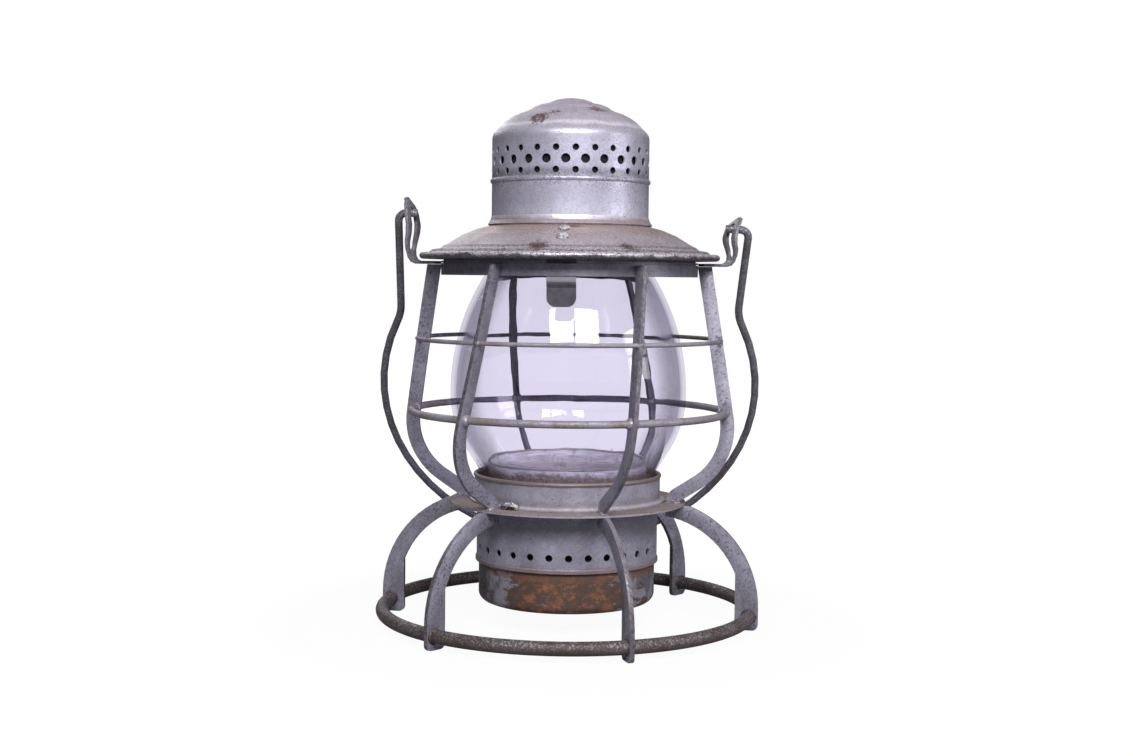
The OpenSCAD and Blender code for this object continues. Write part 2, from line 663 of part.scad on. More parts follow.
// Ears: a strip with a slot, whose arm lies on the rib and whose tip flares outward
module ear(side_x, tip_x, ear_pivot_z, tip_rise) {
  tip_z = ear_pivot_z + tip_rise;
  arm_z = rib_top_z + seat_gap + ear_t;
  arm_in = band_r + 2 * free_gap;
  rise = ear_pivot_z - arm_z;
  flare = tip_x - side_x;
  strip = sheet([
    [tip_x, tip_z],
    [side_x + flare * 0.68, tip_z - tip_rise * 0.24],
    [side_x + flare * 0.34, tip_z - tip_rise * 0.62],
    [side_x + flare * 0.06, ear_pivot_z - tip_rise * 0.1],
    [side_x - 0.5, ear_pivot_z - rise * 0.24],
    [side_x - 0.3, ear_pivot_z - rise * 0.42],
    [side_x + 0.5, ear_pivot_z - rise * 0.6],
    [side_x + 0.7, ear_pivot_z - rise * 0.76],
    [side_x + 0.1, ear_pivot_z - rise * 0.9],
    [side_x - 1, arm_z + rise * 0.03],
    [side_x - 2.6, arm_z],
    [arm_in, arm_z]
  ], ear_t);
  half = ear_w / 2;
  side_points = [
    [half * 0.45, arm_z - 2 * ear_t],
    [half * 0.58, arm_z + rise * 0.16],
    [half * 0.86, ear_pivot_z - rise * 0.58],
    [half, ear_pivot_z - rise * 0.3],
    [half * 0.92, ear_pivot_z],
    [half * 0.66, tip_z - tip_rise * 0.5],
    [half * 0.3, tip_z - tip_rise * 0.2],
    [half * 0.12, tip_z + ear_t]
  ];
  slot_low_z = ear_pivot_z - rise * 0.66;
  difference() {
    intersection() {
      rotate([90, 0, 0]) linear_extrude(ear_w + 4, center = true) polygon(strip);
      rotate([90, 0, 90]) linear_extrude(tip_x + 10)
        polygon(concat(side_points, [for (q = flip(side_points)) [-q.x, q.y]]));
    }
    translate([side_x - ear_w / 2, 0, 0]) rotate([90, 0, 90]) linear_extrude(ear_w) union() {
      translate([0, ear_pivot_z]) circle(d = ear_slot_w);
      translate([0, slot_low_z]) circle(d = ear_slot_w);
      translate([-ear_slot_w / 2, slot_low_z]) square([ear_slot_w, ear_pivot_z - slot_low_z]);
    }
  }
}
// The ear turned towards the front about its own side, with its tip inside the bail's hook, also
// when the bail stands up and leans by twice the slope of its pivot line
module turned_ear(side_x, hook_x, ear_pivot_z, tip_rise) {
  tip_x = hook_x - bail_r - free_gap - tip_rise * sin(2 * pivot_slope) - ear_t;
  translate([side_x, 0, 0]) rotate([0, 0, ear_turn]) translate([-side_x, 0, 0])
    ear(side_x, tip_x, ear_pivot_z, tip_rise);
}
module ear_left() {
  color("#706d75") mirror([1, 0, 0])
    turned_ear(ear_left_x, hook_left_x, pivot_z + pivot_drop(ear_left_x), ear_left_tip);
}
module ear_right() {
  color("#706d75")
    turned_ear(ear_right_x, hook_right_x, pivot_z - pivot_drop(ear_right_x), ear_right_tip);
}

// Hinge, on its own axis: x runs along the pin, y outward from the lantern, z up
module at_hinge() {
  rotate([0, 0, lid_turn + 180]) translate([0, -hinge_r, hinge_z]) children();
}
module knuckle(x, w) {
  translate([x, 0, 0]) rotate([0, 90, 0]) cylinder(r = barrel_r, h = w, center = true);
}
module pin_bore() {
  rotate([0, 90, 0]) cylinder(r = hinge_pin_r + running_gap, h = 4 * knuckle_w, center = true);
}
module hinge_bracket() {
  leaf_reach = hinge_r - band_r - seat_gap;
  color("#817f8a") at_hinge() difference() {
    union() {
      for (s = [-1, 1]) {
        knuckle(s * (knuckle_w + hinge_gap), knuckle_w);
        translate([s * (knuckle_w + hinge_gap) - knuckle_w / 2, 0, -barrel_r]) cube([knuckle_w, leaf_reach, leaf_t]);
      }
      translate([-1.5 * knuckle_w - hinge_gap, leaf_reach - leaf_t, -barrel_r - 1.6])
        cube([3 * knuckle_w + 2 * hinge_gap, leaf_t, 3]);
    }
    pin_bore();
  }
}
module hinge_pin() {
  color("#6a6870") at_hinge() rotate([0, 90, 0])
    cylinder(r = hinge_pin_r, h = 3 * knuckle_w + 2 * hinge_gap + 2, center = true);
}
module lid_hinge_leaf() {
  leaf_top = hood_under(hinge_r, 1) - hinge_z - seat_gap;
  color("#817f8a") at_hinge() difference() {
    union() {
      knuckle(0, knuckle_w);
      translate([-knuckle_w / 2, -leaf_t / 2, 0]) cube([knuckle_w, leaf_t, leaf_top]);
    }
    pin_bore();
  }
}

// Lid
module hood() {
  color("#9b8f92") rotate([0, 0, lid_turn]) union() {
    turned_sheet(hood_path, sheet_t);
    translate([0, 0, brim_c.y]) wire_ring(brim_c.x, 2 * brim_bead_r);
  }
}
module lid_skirt() {
  color("#8d8b97") rotate([0, 0, lid_turn]) difference() {
    rotate_extrude() polygon([
      [skirt_r - sheet_t, skirt_low_z],
      [skirt_r, skirt_low_z],
      [skirt_r, skirt_seat_z],
      [skirt_seat_r, skirt_seat_z],
      [skirt_seat_r, skirt_seat_z + sheet_t],
      [skirt_r, skirt_seat_z + sheet_t],
      [skirt_r, skirt_top_z],
      [skirt_r - sheet_t, skirt_top_z]
    ]);
    translate([-latch_w / 2 - free_gap, -skirt_seat_r - 1, skirt_low_z - 1])
      cube([latch_w + 2 * free_gap, 6, skirt_top_z - skirt_low_z + 2]);
  }
}
module chimney() {
  color("#9d9aa8") rotate([0, 0, lid_turn]) difference() {
    turned_sheet(chimney_path, sheet_t);
    ring_of_holes(smoke_hole_count, smoke_big_d, smoke_z, chimney_r, 0);
    for (s = [-1, 1])
      ring_of_holes(smoke_hole_count, smoke_small_d, smoke_z + s * smoke_pitch, chimney_r,
        180 / smoke_hole_count);
  }
}

// Latch
module latch_strap() {
  inner = hood_path[6];
  drop = sheet_t + seat_gap;
  strap_path = [
    [latch_r - 12, hood_under(latch_r - 12, 7) - seat_gap],
    [inner.x + 1, hood_under(inner.x + 1, 6) - seat_gap],
    [hood_path[5].x, hood_path[5].y - drop - 0.6],
    [latch_r - 1.4, latch_pivot_z + 1.6],
    [latch_r - 1.4, latch_pivot_z + 0.6]
  ];
  color("#b9b7bd") rotate([0, 0, lid_turn]) rotate([0, 0, -90]) rotate([90, 0, 0])
    linear_extrude(latch_w - 2, center = true) polygon(sheet(strap_path, -latch_t));
}
module latch_rivets() {
  color("#a09daa") rotate([0, 0, lid_turn])
    for (r = [chimney_r + 7.8, chimney_r + 15.6]) {
      i = r > hood_path[7].x ? 6 : 7;
      top_z = hood_under(r, i) + sheet_t;
      slope = atan2(hood_path[i + 1].y - hood_path[i].y, hood_path[i].x - hood_path[i + 1].x);
      translate([0, -r, top_z]) rotate([slope, 0, 0]) intersection() {
        translate([0, 0, 0.3 - rivet_r * 1.2]) sphere(r = rivet_r * 1.5);
        translate([0, 0, 0.25]) cylinder(r = rivet_r, h = rivet_r);
      }
    }
}
module latch_tongue() {
  straight_top = latch_pivot_z;
  path = [
    [latch_r, straight_top],
    [latch_r, band_low_z - seat_gap / 2],
    [band_inner_r + latch_bite, hook_z + latch_drop / 2],
    [band_inner_r + latch_bite, hook_z - latch_drop / 2 + 1],
    [latch_r, hook_z - latch_drop],
    [latch_r - 0.4, latch_low_z]
  ];
  end_r = 4;
  color("#c4c2c8") rotate([0, 0, lid_turn]) intersection() {
    rotate([0, 0, -90]) rotate([90, 0, 0]) linear_extrude(latch_w, center = true) polygon(sheet(path, -latch_t));
    rotate([90, 0, 0]) linear_extrude(band_r + 10) union() {
      translate([-latch_w / 2, latch_low_z + end_r]) square([latch_w, straight_top + 2 - latch_low_z - end_r]);
      translate([-latch_w / 2 + end_r, latch_low_z]) square([latch_w - 2 * end_r, 2 * end_r]);
      for (s = [-1, 1]) translate([s * (latch_w / 2 - end_r), latch_low_z + end_r]) circle(r = end_r);
    }
  }
}

// Bail
module bail() {
  color("#626069") translate([0, 0, pivot_z])
    rotate(a = bail_rest, v = [cos(pivot_slope), 0, -sin(pivot_slope)]) polyhedron(bail_points, bail_faces);
}

base_ring();
rib(0);  // rib_1
rib(1);  // rib_2
rib(2);  // rib_3
rib(3);  // rib_4
rib(4);  // rib_5
rib(5);  // rib_6
guard_wire_upper();
guard_wire_lower();
top_band();
deck_plate();
globe_collar();
burner_cup();
fount_shell();
fount();
filler_cap();
burner();
wick();
wick_wheel();
globe();
ear_left();
ear_right();
hinge_bracket();
hinge_pin();
hood();
lid_skirt();
chimney();
lid_hinge_leaf();
latch_strap();
latch_rivets();
latch_tongue();
bail();
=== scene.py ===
"""A railroad hand lantern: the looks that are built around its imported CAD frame.

Metres, +Z up, the front with the lid latch faces -Y. The feet stand on z = 0.
"""

from __future__ import annotations

import logging
import math
from dataclasses import dataclass, field
from enum import Enum
from typing import Mapping, Sequence, Union

import bpy
from mathutils import Matrix, Vector

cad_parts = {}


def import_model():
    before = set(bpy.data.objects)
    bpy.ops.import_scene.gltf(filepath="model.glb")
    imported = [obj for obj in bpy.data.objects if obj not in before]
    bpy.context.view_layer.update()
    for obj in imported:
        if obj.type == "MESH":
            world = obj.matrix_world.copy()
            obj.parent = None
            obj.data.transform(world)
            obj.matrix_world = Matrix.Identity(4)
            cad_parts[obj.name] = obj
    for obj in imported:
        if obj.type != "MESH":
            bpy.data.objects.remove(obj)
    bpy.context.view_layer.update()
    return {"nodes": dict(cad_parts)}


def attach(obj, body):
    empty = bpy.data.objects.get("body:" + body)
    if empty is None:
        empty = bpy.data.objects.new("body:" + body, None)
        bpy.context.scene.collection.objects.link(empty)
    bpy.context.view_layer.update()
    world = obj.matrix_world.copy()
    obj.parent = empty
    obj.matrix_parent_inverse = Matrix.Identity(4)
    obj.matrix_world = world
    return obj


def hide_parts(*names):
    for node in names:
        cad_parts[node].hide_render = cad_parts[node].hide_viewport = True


MM = 0.001
LOG = logging.getLogger("lantern")

# What a node's input can take: a value, or the output of another node.
Feed = Union[float, Sequence[float], bpy.types.NodeSocket]

Point = tuple[float, float, float]

# Points of a mesh that lie closer together than this are one point, in millimetres.
MERGE_MM = 0.002

# Radius and height of the CAD model's base ring, then its heights above the table, in millimetres:
# the deck's top, the shell's lower edge, the ribs' tops, the middle of the brim's rolled edge, and
# the chimney's foot, bead and shoulder.
BASE_RING_R = 87.3
BASE_RING_Z = 6.4
DECK_Z = 58.4
SHELL_Z = DECK_Z - 27.4
RIB_TOP_Z = DECK_Z + 110.8
BRIM_Z = RIB_TOP_Z + 4.0
CHIMNEY_Z = BRIM_Z + 15.7
BEAD_Z = CHIMNEY_Z + 19.4
SHOULDER_Z = CHIMNEY_Z + 39.1


class Body(Enum):
    """The CAD bodies that the new pieces ride on."""

    CAGE = "cage"
    LID = "lid"


class Slot(Enum):
    """The record's material slots, listed beside the joints but not given to any piece."""

    ALUMINIUM_PAINT = "aluminium_paint"
    DUSTY_PAINT = "dusty_paint"
    DARK_WIRE = "dark_wire"
    BASE_WIRE = "rusty_base_wire"
    TINNED = "tinned_sheet"
    GLASS = "clear_glass"


class Kind(Enum):
    """The nodes that the finishes use over and over.

    Each option holds the node's type, its inputs in the order in which they are given, the output
    that is read and the node's settings. Inputs that get nothing keep their usual value. The FREE
    ones may give results outside 0 to 1.
    """

    RAMP = ("ShaderNodeMapRange", ("Value", "From Min", "From Max", "To Min", "To Max"), "Result", {})
    MIX = ("ShaderNodeMix", (0, 6, 7), 2, {"data_type": "RGBA"})
    BUMP = ("ShaderNodeBump", ("Height", "Distance", "Strength"), "Normal", {})
    TIMES = ("ShaderNodeMath", (0, 1), 0, {"operation": "MULTIPLY", "use_clamp": True})
    PLUS = ("ShaderNodeMath", (0, 1), 0, {"operation": "ADD", "use_clamp": True})
    LESS = ("ShaderNodeMath", (0, 1), 0, {"operation": "SUBTRACT", "use_clamp": True})
    LARGER = ("ShaderNodeMath", (0, 1), 0, {"operation": "MAXIMUM", "use_clamp": True})
    FREE_TIMES = ("ShaderNodeMath", (0, 1), 0, {"operation": "MULTIPLY"})
    FREE_PLUS = ("ShaderNodeMath", (0, 1), 0, {"operation": "ADD"})
    UNSIGNED = ("ShaderNodeMath", (0,), 0, {"operation": "ABSOLUTE"})
    SINE = ("ShaderNodeMath", (0,), 0, {"operation": "SINE"})
    X = ("ShaderNodeSeparateXYZ", (0,), "X", {})
    Y = ("ShaderNodeSeparateXYZ", (0,), "Y", {})
    Z = ("ShaderNodeSeparateXYZ", (0,), "Z", {})
    STRETCHED = ("ShaderNodeVectorMath", (0, 1), 0, {"operation": "MULTIPLY"})
    DIRECTION = ("ShaderNodeVectorMath", (0,), 0, {"operation": "NORMALIZE"})
    LENGTH = ("ShaderNodeVectorMath", (0,), "Value", {"operation": "LENGTH"})
    DISTANCE = ("ShaderNodeVectorMath", (0, 1), "Value", {"operation": "DISTANCE"})
    DOT = ("ShaderNodeVectorMath", (0, 1), "Value", {"operation": "DOT_PRODUCT"})
    BLEND = ("ShaderNodeMixShader", (0, 1, 2), 0, {})
    CLEAR = ("ShaderNodeBsdfTransparent", ("Color",), 0, {})
    MATT = ("ShaderNodeBsdfDiffuse", ("Color",), 0, {})


def linear(code: str) -> tuple[float, float, float, float]:
    """Turns an sRGB hex colour into linear light.

    Args:
        code: The colour as "#rrggbb".

    Returns:
        Red, green, blue and an alpha of 1.
    """
    parts = [int(code[i : i + 2], 16) / 255 for i in (1, 3, 5)]
    r, g, b = (c / 12.92 if c <= 0.04045 else ((c + 0.055) / 1.055) ** 2.4 for c in parts)
    return r, g, b, 1.0


def add_node(
    tree: bpy.types.NodeTree,
    kind: str,
    feeds: Mapping[Union[int, str], Feed] | None = None,
    **settings: object,
) -> bpy.types.Node:
    """Adds one node with its settings, its values and its links.

    Args:
        tree: The node tree that gets the node.
        kind: The node's type name.
        feeds: A value or a source socket for each named or numbered input.
        settings: The node's own properties.

    Returns:
        The new node.
    """
    node = tree.nodes.new(kind)
    for name, value in settings.items():
        setattr(node, name, value)
    for key, value in (feeds or {}).items():
        if isinstance(value, bpy.types.NodeSocket):
            tree.links.new(value, node.inputs[key])
        else:
            node.inputs[key].default_value = value
    return node


@dataclass(frozen=True)
class Belt:
    """A level band of another colour on a turned piece, such as soot above a bead.

    It lies between low_mm and high_mm, both measured upwards from from_mm. Share is how much of its
    colour shows. Its edges fade over soft_mm and wander up and down by ragged_mm, in waves of
    wave_mm. With a size in speck_mm the band is not solid but a scatter of specks that large.
    """

    from_mm: float
    low_mm: float
    high_mm: float
    colour: str
    share: float = 1.0
    soft_mm: float = 0.5
    ragged_mm: float = 0.0
    speck_mm: float = 0.0
    wave_mm: float = 7.0


@dataclass(frozen=True)
class Stain:
    """A ragged patch of rust round one place, in millimetres, whose edge breaks up into grains."""

    centre_mm: Point
    reach_mm: float
    grain_mm: float
    colour: str = "#5e4136"


class Palette:
    """The node tree of one material, with the few patterns that the finishes share."""

    def __init__(self, name: str) -> None:
        """Makes the material with an empty tree.

        Args:
            name: The material's name.
        """
        self.material = bpy.data.materials.new(name)
        self.material.use_nodes = True
        self.tree = self.material.node_tree
        self.tree.nodes.clear()
        source = add_node(self.tree, "ShaderNodeTexCoord")
        self.place = source.outputs["Object"]
        self.face = source.outputs["Normal"]

    def add(self, kind: Kind, *feeds: Feed) -> bpy.types.NodeSocket:
        """Adds a node of a common kind, fed in the order of its inputs, and hands out its output."""
        type_name, inputs, output, settings = kind.value
        return add_node(self.tree, type_name, dict(zip(inputs, feeds)), **settings).outputs[output]

    def mottle(
        self,
        size_mm: float,
        detail: float = 3.0,
        rough: float = 0.55,
        stretch: Point = (1.0, 1.0, 1.0),
        shift: float = 0.0,
    ) -> bpy.types.NodeSocket:
        """A cloudy pattern whose blobs have a real size.

        Args:
            size_mm: The size of one blob in millimetres.
            detail: The number of finer layers.
            rough: The strength of the finer layers.
            stretch: How many times longer the blobs are along X, Y and Z.
            shift: A move of the pattern in metres, so that two patterns differ.

        Returns:
            The pattern's socket, about 0.5 on average.
        """
        scale = [1.0 / s for s in stretch]
        moved = {"Vector": self.place, "Location": (shift, shift, shift), "Scale": scale}
        place = add_node(self.tree, "ShaderNodeMapping", moved).outputs[0]
        feeds = {"Vector": place, "Scale": 1.0 / (size_mm * MM), "Detail": detail, "Roughness": rough}
        return add_node(self.tree, "ShaderNodeTexNoise", feeds).outputs["Fac"]

    def facing_up(self, low: float, high: float) -> bpy.types.NodeSocket:
        """0 where the upward part of the surface's normal is below low, 1 where it is above high."""
        return self.add(Kind.RAMP, self.add(Kind.Z, self.face), low, high)

    def outward(self) -> bpy.types.NodeSocket:
        """The place without its height, which points away from the upright axis."""
        return self.add(Kind.STRETCHED, self.place, (1.0, 1.0, 0.0))

    def radius(
        self, low_mm: float, high_mm: float, to_low: float, to_high: float
    ) -> bpy.types.NodeSocket:
        """The value to_low within low_mm of the upright axis and to_high beyond high_mm."""
        away = self.add(Kind.LENGTH, self.outward())
        return self.add(Kind.RAMP, away, low_mm * MM, high_mm * MM, to_low, to_high)

    def edgewise(self, low: float, high: float) -> bpy.types.NodeSocket:
        """Finds where the surface faces to or from the upright axis, as a rib's narrow edges do.

        Args:
            low: How much it may face that way where the result is still 0.
            high: How much it faces that way where the result is 1.

        Returns:
            The result's socket.
        """
        away = self.add(Kind.DIRECTION, self.outward())
        facing = self.add(Kind.UNSIGNED, self.add(Kind.DOT, away, self.face))
        return self.add(Kind.RAMP, facing, low, high)

    def near(self, centre_mm: Point, reach_mm: float) -> bpy.types.NodeSocket:
        """1 in the inner fifth of the reach round a place, and 0 from reach_mm outwards."""
        away = self.add(Kind.DISTANCE, self.place, tuple(c * MM for c in centre_mm))
        return self.add(Kind.RAMP, away, reach_mm * MM, 0.2 * reach_mm * MM)

    def inside(self, belt: Belt) -> bpy.types.NodeSocket:
        """Finds what lies between the heights of a belt.

        Args:
            belt: The belt, whose edges may fade and wander up and down.

        Returns:
            The result's socket, 1 inside the belt and 0 outside it.
        """
        low, high = belt.from_mm + belt.low_mm, belt.from_mm + belt.high_mm
        z = self.add(Kind.Z, self.place)
        if belt.ragged_mm:
            ragged = belt.ragged_mm * MM
            waves = self.mottle(belt.wave_mm, 4, 0.6, shift=2.1)
            z = self.add(Kind.FREE_PLUS, z, self.add(Kind.RAMP, waves, 0.25, 0.75, -ragged, ragged))
        rise = self.add(Kind.RAMP, z, (low - belt.soft_mm) * MM, (low + belt.soft_mm) * MM)
        fall = self.add(Kind.RAMP, z, (high - belt.soft_mm) * MM, (high + belt.soft_mm) * MM, 1.0, 0.0)
        return self.add(Kind.TIMES, rise, fall)

    def belted(self, colour: Feed, belts: Sequence[Belt]) -> Feed:
        """Lays belts over a colour.

        Args:
            colour: The colour below.
            belts: The belts, the lowest layer first.

        Returns:
            The colour with its belts.
        """
        for belt in belts:
            share = self.add(Kind.TIMES, self.inside(belt), belt.share)
            if belt.speck_mm:
                specks = self.add(Kind.RAMP, self.mottle(belt.speck_mm, 2, 0.5, shift=5.5), 0.52, 0.6)
                share = self.add(Kind.TIMES, share, specks)
            colour = self.add(Kind.MIX, share, colour, linear(belt.colour))
        return colour

    def stained(self, colour: Feed, stains: Sequence[Stain]) -> Feed:
        """Lays ragged stains over a colour.

        Args:
            colour: The colour below.
            stains: The stains, the lowest layer first.

        Returns:
            The colour with its stains.
        """
        for stain in stains:
            near = self.add(Kind.RAMP, self.near(stain.centre_mm, stain.reach_mm), 0, 1, -0.22, 0.16)
            ragged = self.add(Kind.FREE_PLUS, self.mottle(stain.grain_mm, 6, 0.72, shift=4.2), near)
            share = self.add(Kind.RAMP, ragged, 0.52, 0.6, 0, 0.9)
            colour = self.add(Kind.MIX, share, colour, linear(stain.colour))
        return colour

    def shade(self, feeds: Mapping[Union[int, str], Feed]) -> bpy.types.Material:
        """Adds the shader with its values, joins it to the output and hands out the material."""
        return self.show(add_node(self.tree, "ShaderNodeBsdfPrincipled", feeds).outputs[0])

    def show(self, surface: bpy.types.NodeSocket) -> bpy.types.Material:
        """Joins a shader to the output and hands out the finished material."""
        add_node(self.tree, "ShaderNodeOutputMaterial", {"Surface": surface})
        return self.material


@dataclass(frozen=True)
class WornPaint:
    """Aluminium paint brushed on steel: silver flakes in lacquer, dulled by soot, dust and rust.

    The flakes give it a fine grit and a broad soft shine, and decades of handling leave dark
    pits, brown dust on what faces up, dirty narrow edges and rust where the steel shows. Real
    flakes are too fine to show, so the grit is drawn far coarser than they are.
    """

    name: str
    paint: str
    shade: str
    dust: str
    rust: str = "#6a4c3e"
    pit: str = "#3f3a40"
    edge: str = "#6a5c5c"
    flake: str = "#f1eff8"
    patch_mm: float = 14.0
    streak_mm: float = 1.8
    streak_stretch: Point = (1.0, 1.0, 10.0)
    crumb_mm: float = 2.6
    grit_mm: float = 0.75
    grit_share: float = 0.24
    pit_mm: float = 1.3
    pit_share: float = 0.28
    pit_cluster_mm: float = 24.0
    rust_mm: float = 5.0
    rust_share: float = 0.05
    dust_share: float = 0.5
    edge_share: float = 0.0
    belts: tuple[Belt, ...] = ()
    stains: tuple[Stain, ...] = ()
    metallic: float = 0.5
    roughness: float = 0.4
    specular: float = 0.4
    depth_mm: float = 0.08

    def build(self) -> bpy.types.Material:
        """Builds the paint.

        Returns:
            The material.
        """
        look = Palette(self.name)
        patches = look.mottle(self.patch_mm, 6, 0.62)
        grit = look.mottle(self.grit_mm, 2, 0.6)
        crumbs = look.mottle(self.crumb_mm, 4, 0.65, shift=0.5)
        pits = self.pits(look)
        rust = look.mottle(self.rust_mm, 7, 0.75, shift=1.3)
        rust = look.add(Kind.RAMP, rust, 0.70 - self.rust_share, 0.77 - self.rust_share)
        film = look.add(Kind.RAMP, patches, 0.3, 0.65, 0.45, 1.0)
        film = look.add(Kind.TIMES, look.facing_up(0.12, 0.9), film)
        film = look.add(Kind.TIMES, film, self.dust_share)
        colour = self.dirty_paint(look, patches, crumbs, film)
        colour = look.add(Kind.MIX, look.add(Kind.TIMES, rust, 0.8), colour, linear(self.rust))
        colour = look.stained(colour, self.stains)
        gaps = look.add(Kind.RAMP, grit, 0.46, 0.78, 0, self.grit_share)
        colour = look.add(Kind.MIX, gaps, colour, linear(self.pit))
        sparkle = look.add(Kind.RAMP, grit, 0.44, 0.22, 0, self.grit_share * 0.6)
        colour = look.add(Kind.MIX, sparkle, colour, linear(self.flake))
        colour = look.add(Kind.MIX, look.add(Kind.TIMES, pits, 0.85), colour, linear(self.pit))
        rough = look.add(Kind.RAMP, grit, 0.3, 0.75, self.roughness - 0.06, self.roughness + 0.12)
        rough = look.add(Kind.PLUS, rough, look.add(Kind.TIMES, look.add(Kind.LARGER, rust, film), 0.3))
        dull = look.add(Kind.LARGER, rust, look.add(Kind.LARGER, pits, film))
        relief = look.add(Kind.LESS, look.add(Kind.TIMES, grit, 0.6), look.add(Kind.TIMES, pits, 0.5))
        relief = look.add(Kind.PLUS, relief, look.add(Kind.TIMES, rust, 0.3))
        return look.shade(
            {
                "Base Color": colour,
                "Roughness": rough,
                "Metallic": look.add(Kind.RAMP, dull, 0, 1, self.metallic, 0),
                "Specular IOR Level": self.specular,
                "Normal": look.add(Kind.BUMP, relief, self.depth_mm * MM),
            }
        )

    def pits(self, look: Palette) -> bpy.types.NodeSocket:
        """Scatters the dark pits, which come in clusters.

        Args:
            look: The material's palette.

        Returns:
            1 in a pit and 0 beside it.
        """
        spots = look.mottle(self.pit_mm, 2, 0.5, shift=0.7)
        pits = look.add(Kind.RAMP, spots, 0.94 - self.pit_share, 1.0 - self.pit_share)
        clusters = look.mottle(self.pit_cluster_mm, 3, 0.6, shift=3.1)
        return look.add(Kind.TIMES, pits, look.add(Kind.RAMP, clusters, 0.42, 0.62, 0.25, 1.0))

    def dirty_paint(
        self,
        look: Palette,
        patches: bpy.types.NodeSocket,
        crumbs: bpy.types.NodeSocket,
        film: bpy.types.NodeSocket,
    ) -> Feed:
        """Lays shade, streaks, dust, belts and the dirt of the edges over the paint.

        Args:
            look: The material's palette.
            patches: Where the paint is shaded.
            crumbs: Where crumbs of dirt stick.
            film: How much dust lies on it.

        Returns:
            The colour.
        """
        streaks = look.mottle(self.streak_mm, 3, 0.6, self.streak_stretch, 0.3)
        shaded = look.add(Kind.RAMP, patches, 0.38, 0.62)
        colour = look.add(Kind.MIX, shaded, linear(self.paint), linear(self.shade))
        streaks = look.add(Kind.RAMP, streaks, 0.45, 0.75, 0, 0.35)
        colour = look.add(Kind.MIX, streaks, colour, linear(self.shade))
        colour = look.add(Kind.MIX, film, colour, linear(self.dust))
        colour = look.belted(colour, self.belts)
        if self.edge_share:
            worn = look.add(Kind.RAMP, crumbs, 0.35, 0.6, 0.4, 1.0)
            worn = look.add(Kind.TIMES, look.edgewise(0.55, 0.9), worn)
            worn = look.add(Kind.TIMES, worn, self.edge_share)
            colour = look.add(Kind.MIX, worn, colour, linear(self.edge))
        stuck = look.add(Kind.RAMP, crumbs, 0.5, 0.78, 0, 0.45)
        return look.add(Kind.MIX, stuck, colour, linear(self.edge))


@dataclass(frozen=True)
class SpeckledWire:
    """Old drawn steel wire: a dark skin, pitted all over, with the steel rubbed bright on the high grains.

    The skin is dull, and the rubbed grains give it a fine salt-and-pepper look along its upper side.
    """

    name: str
    skin: str
    brown: str
    bright: str
    grain_mm: float = 1.0
    rubbed_share: float = 0.5
    up_share: float = 0.5
    roughness: float = 0.5
    depth_mm: float = 0.15
    patch_mm: float = 12.0
    pit: str = "#2b2628"

    def build(self) -> bpy.types.Material:
        """Builds the wire's skin.

        Returns:
            The material.
        """
        look = Palette(self.name)
        grain = look.mottle(self.grain_mm, 3, 0.65)
        broad = look.mottle(self.patch_mm, 4, 0.6, shift=0.6)
        browned = look.add(Kind.RAMP, broad, 0.4, 0.62)
        colour = look.add(Kind.MIX, browned, linear(self.skin), linear(self.brown))
        upper = look.add(Kind.RAMP, look.facing_up(-0.5, 0.8), 0, 1, 1 - self.up_share, 1.0)
        rubbed = look.add(Kind.TIMES, look.add(Kind.RAMP, grain, 0.5, 0.64), upper)
        rubbed = look.add(Kind.TIMES, rubbed, look.add(Kind.RAMP, broad, 0.35, 0.6, 1.0, 0.35))
        rubbed = look.add(Kind.TIMES, rubbed, self.rubbed_share)
        colour = look.add(Kind.MIX, rubbed, colour, linear(self.bright))
        colour = look.add(Kind.MIX, look.add(Kind.RAMP, grain, 0.42, 0.3, 0, 0.7), colour, linear(self.pit))
        return look.shade(
            {
                "Base Color": colour,
                "Roughness": look.add(Kind.RAMP, rubbed, 0, 1, self.roughness + 0.1, self.roughness - 0.15),
                "Metallic": look.add(Kind.RAMP, rubbed, 0, 1, 0.1, 0.7),
                "Normal": look.add(Kind.BUMP, grain, self.depth_mm * MM),
            }
        )


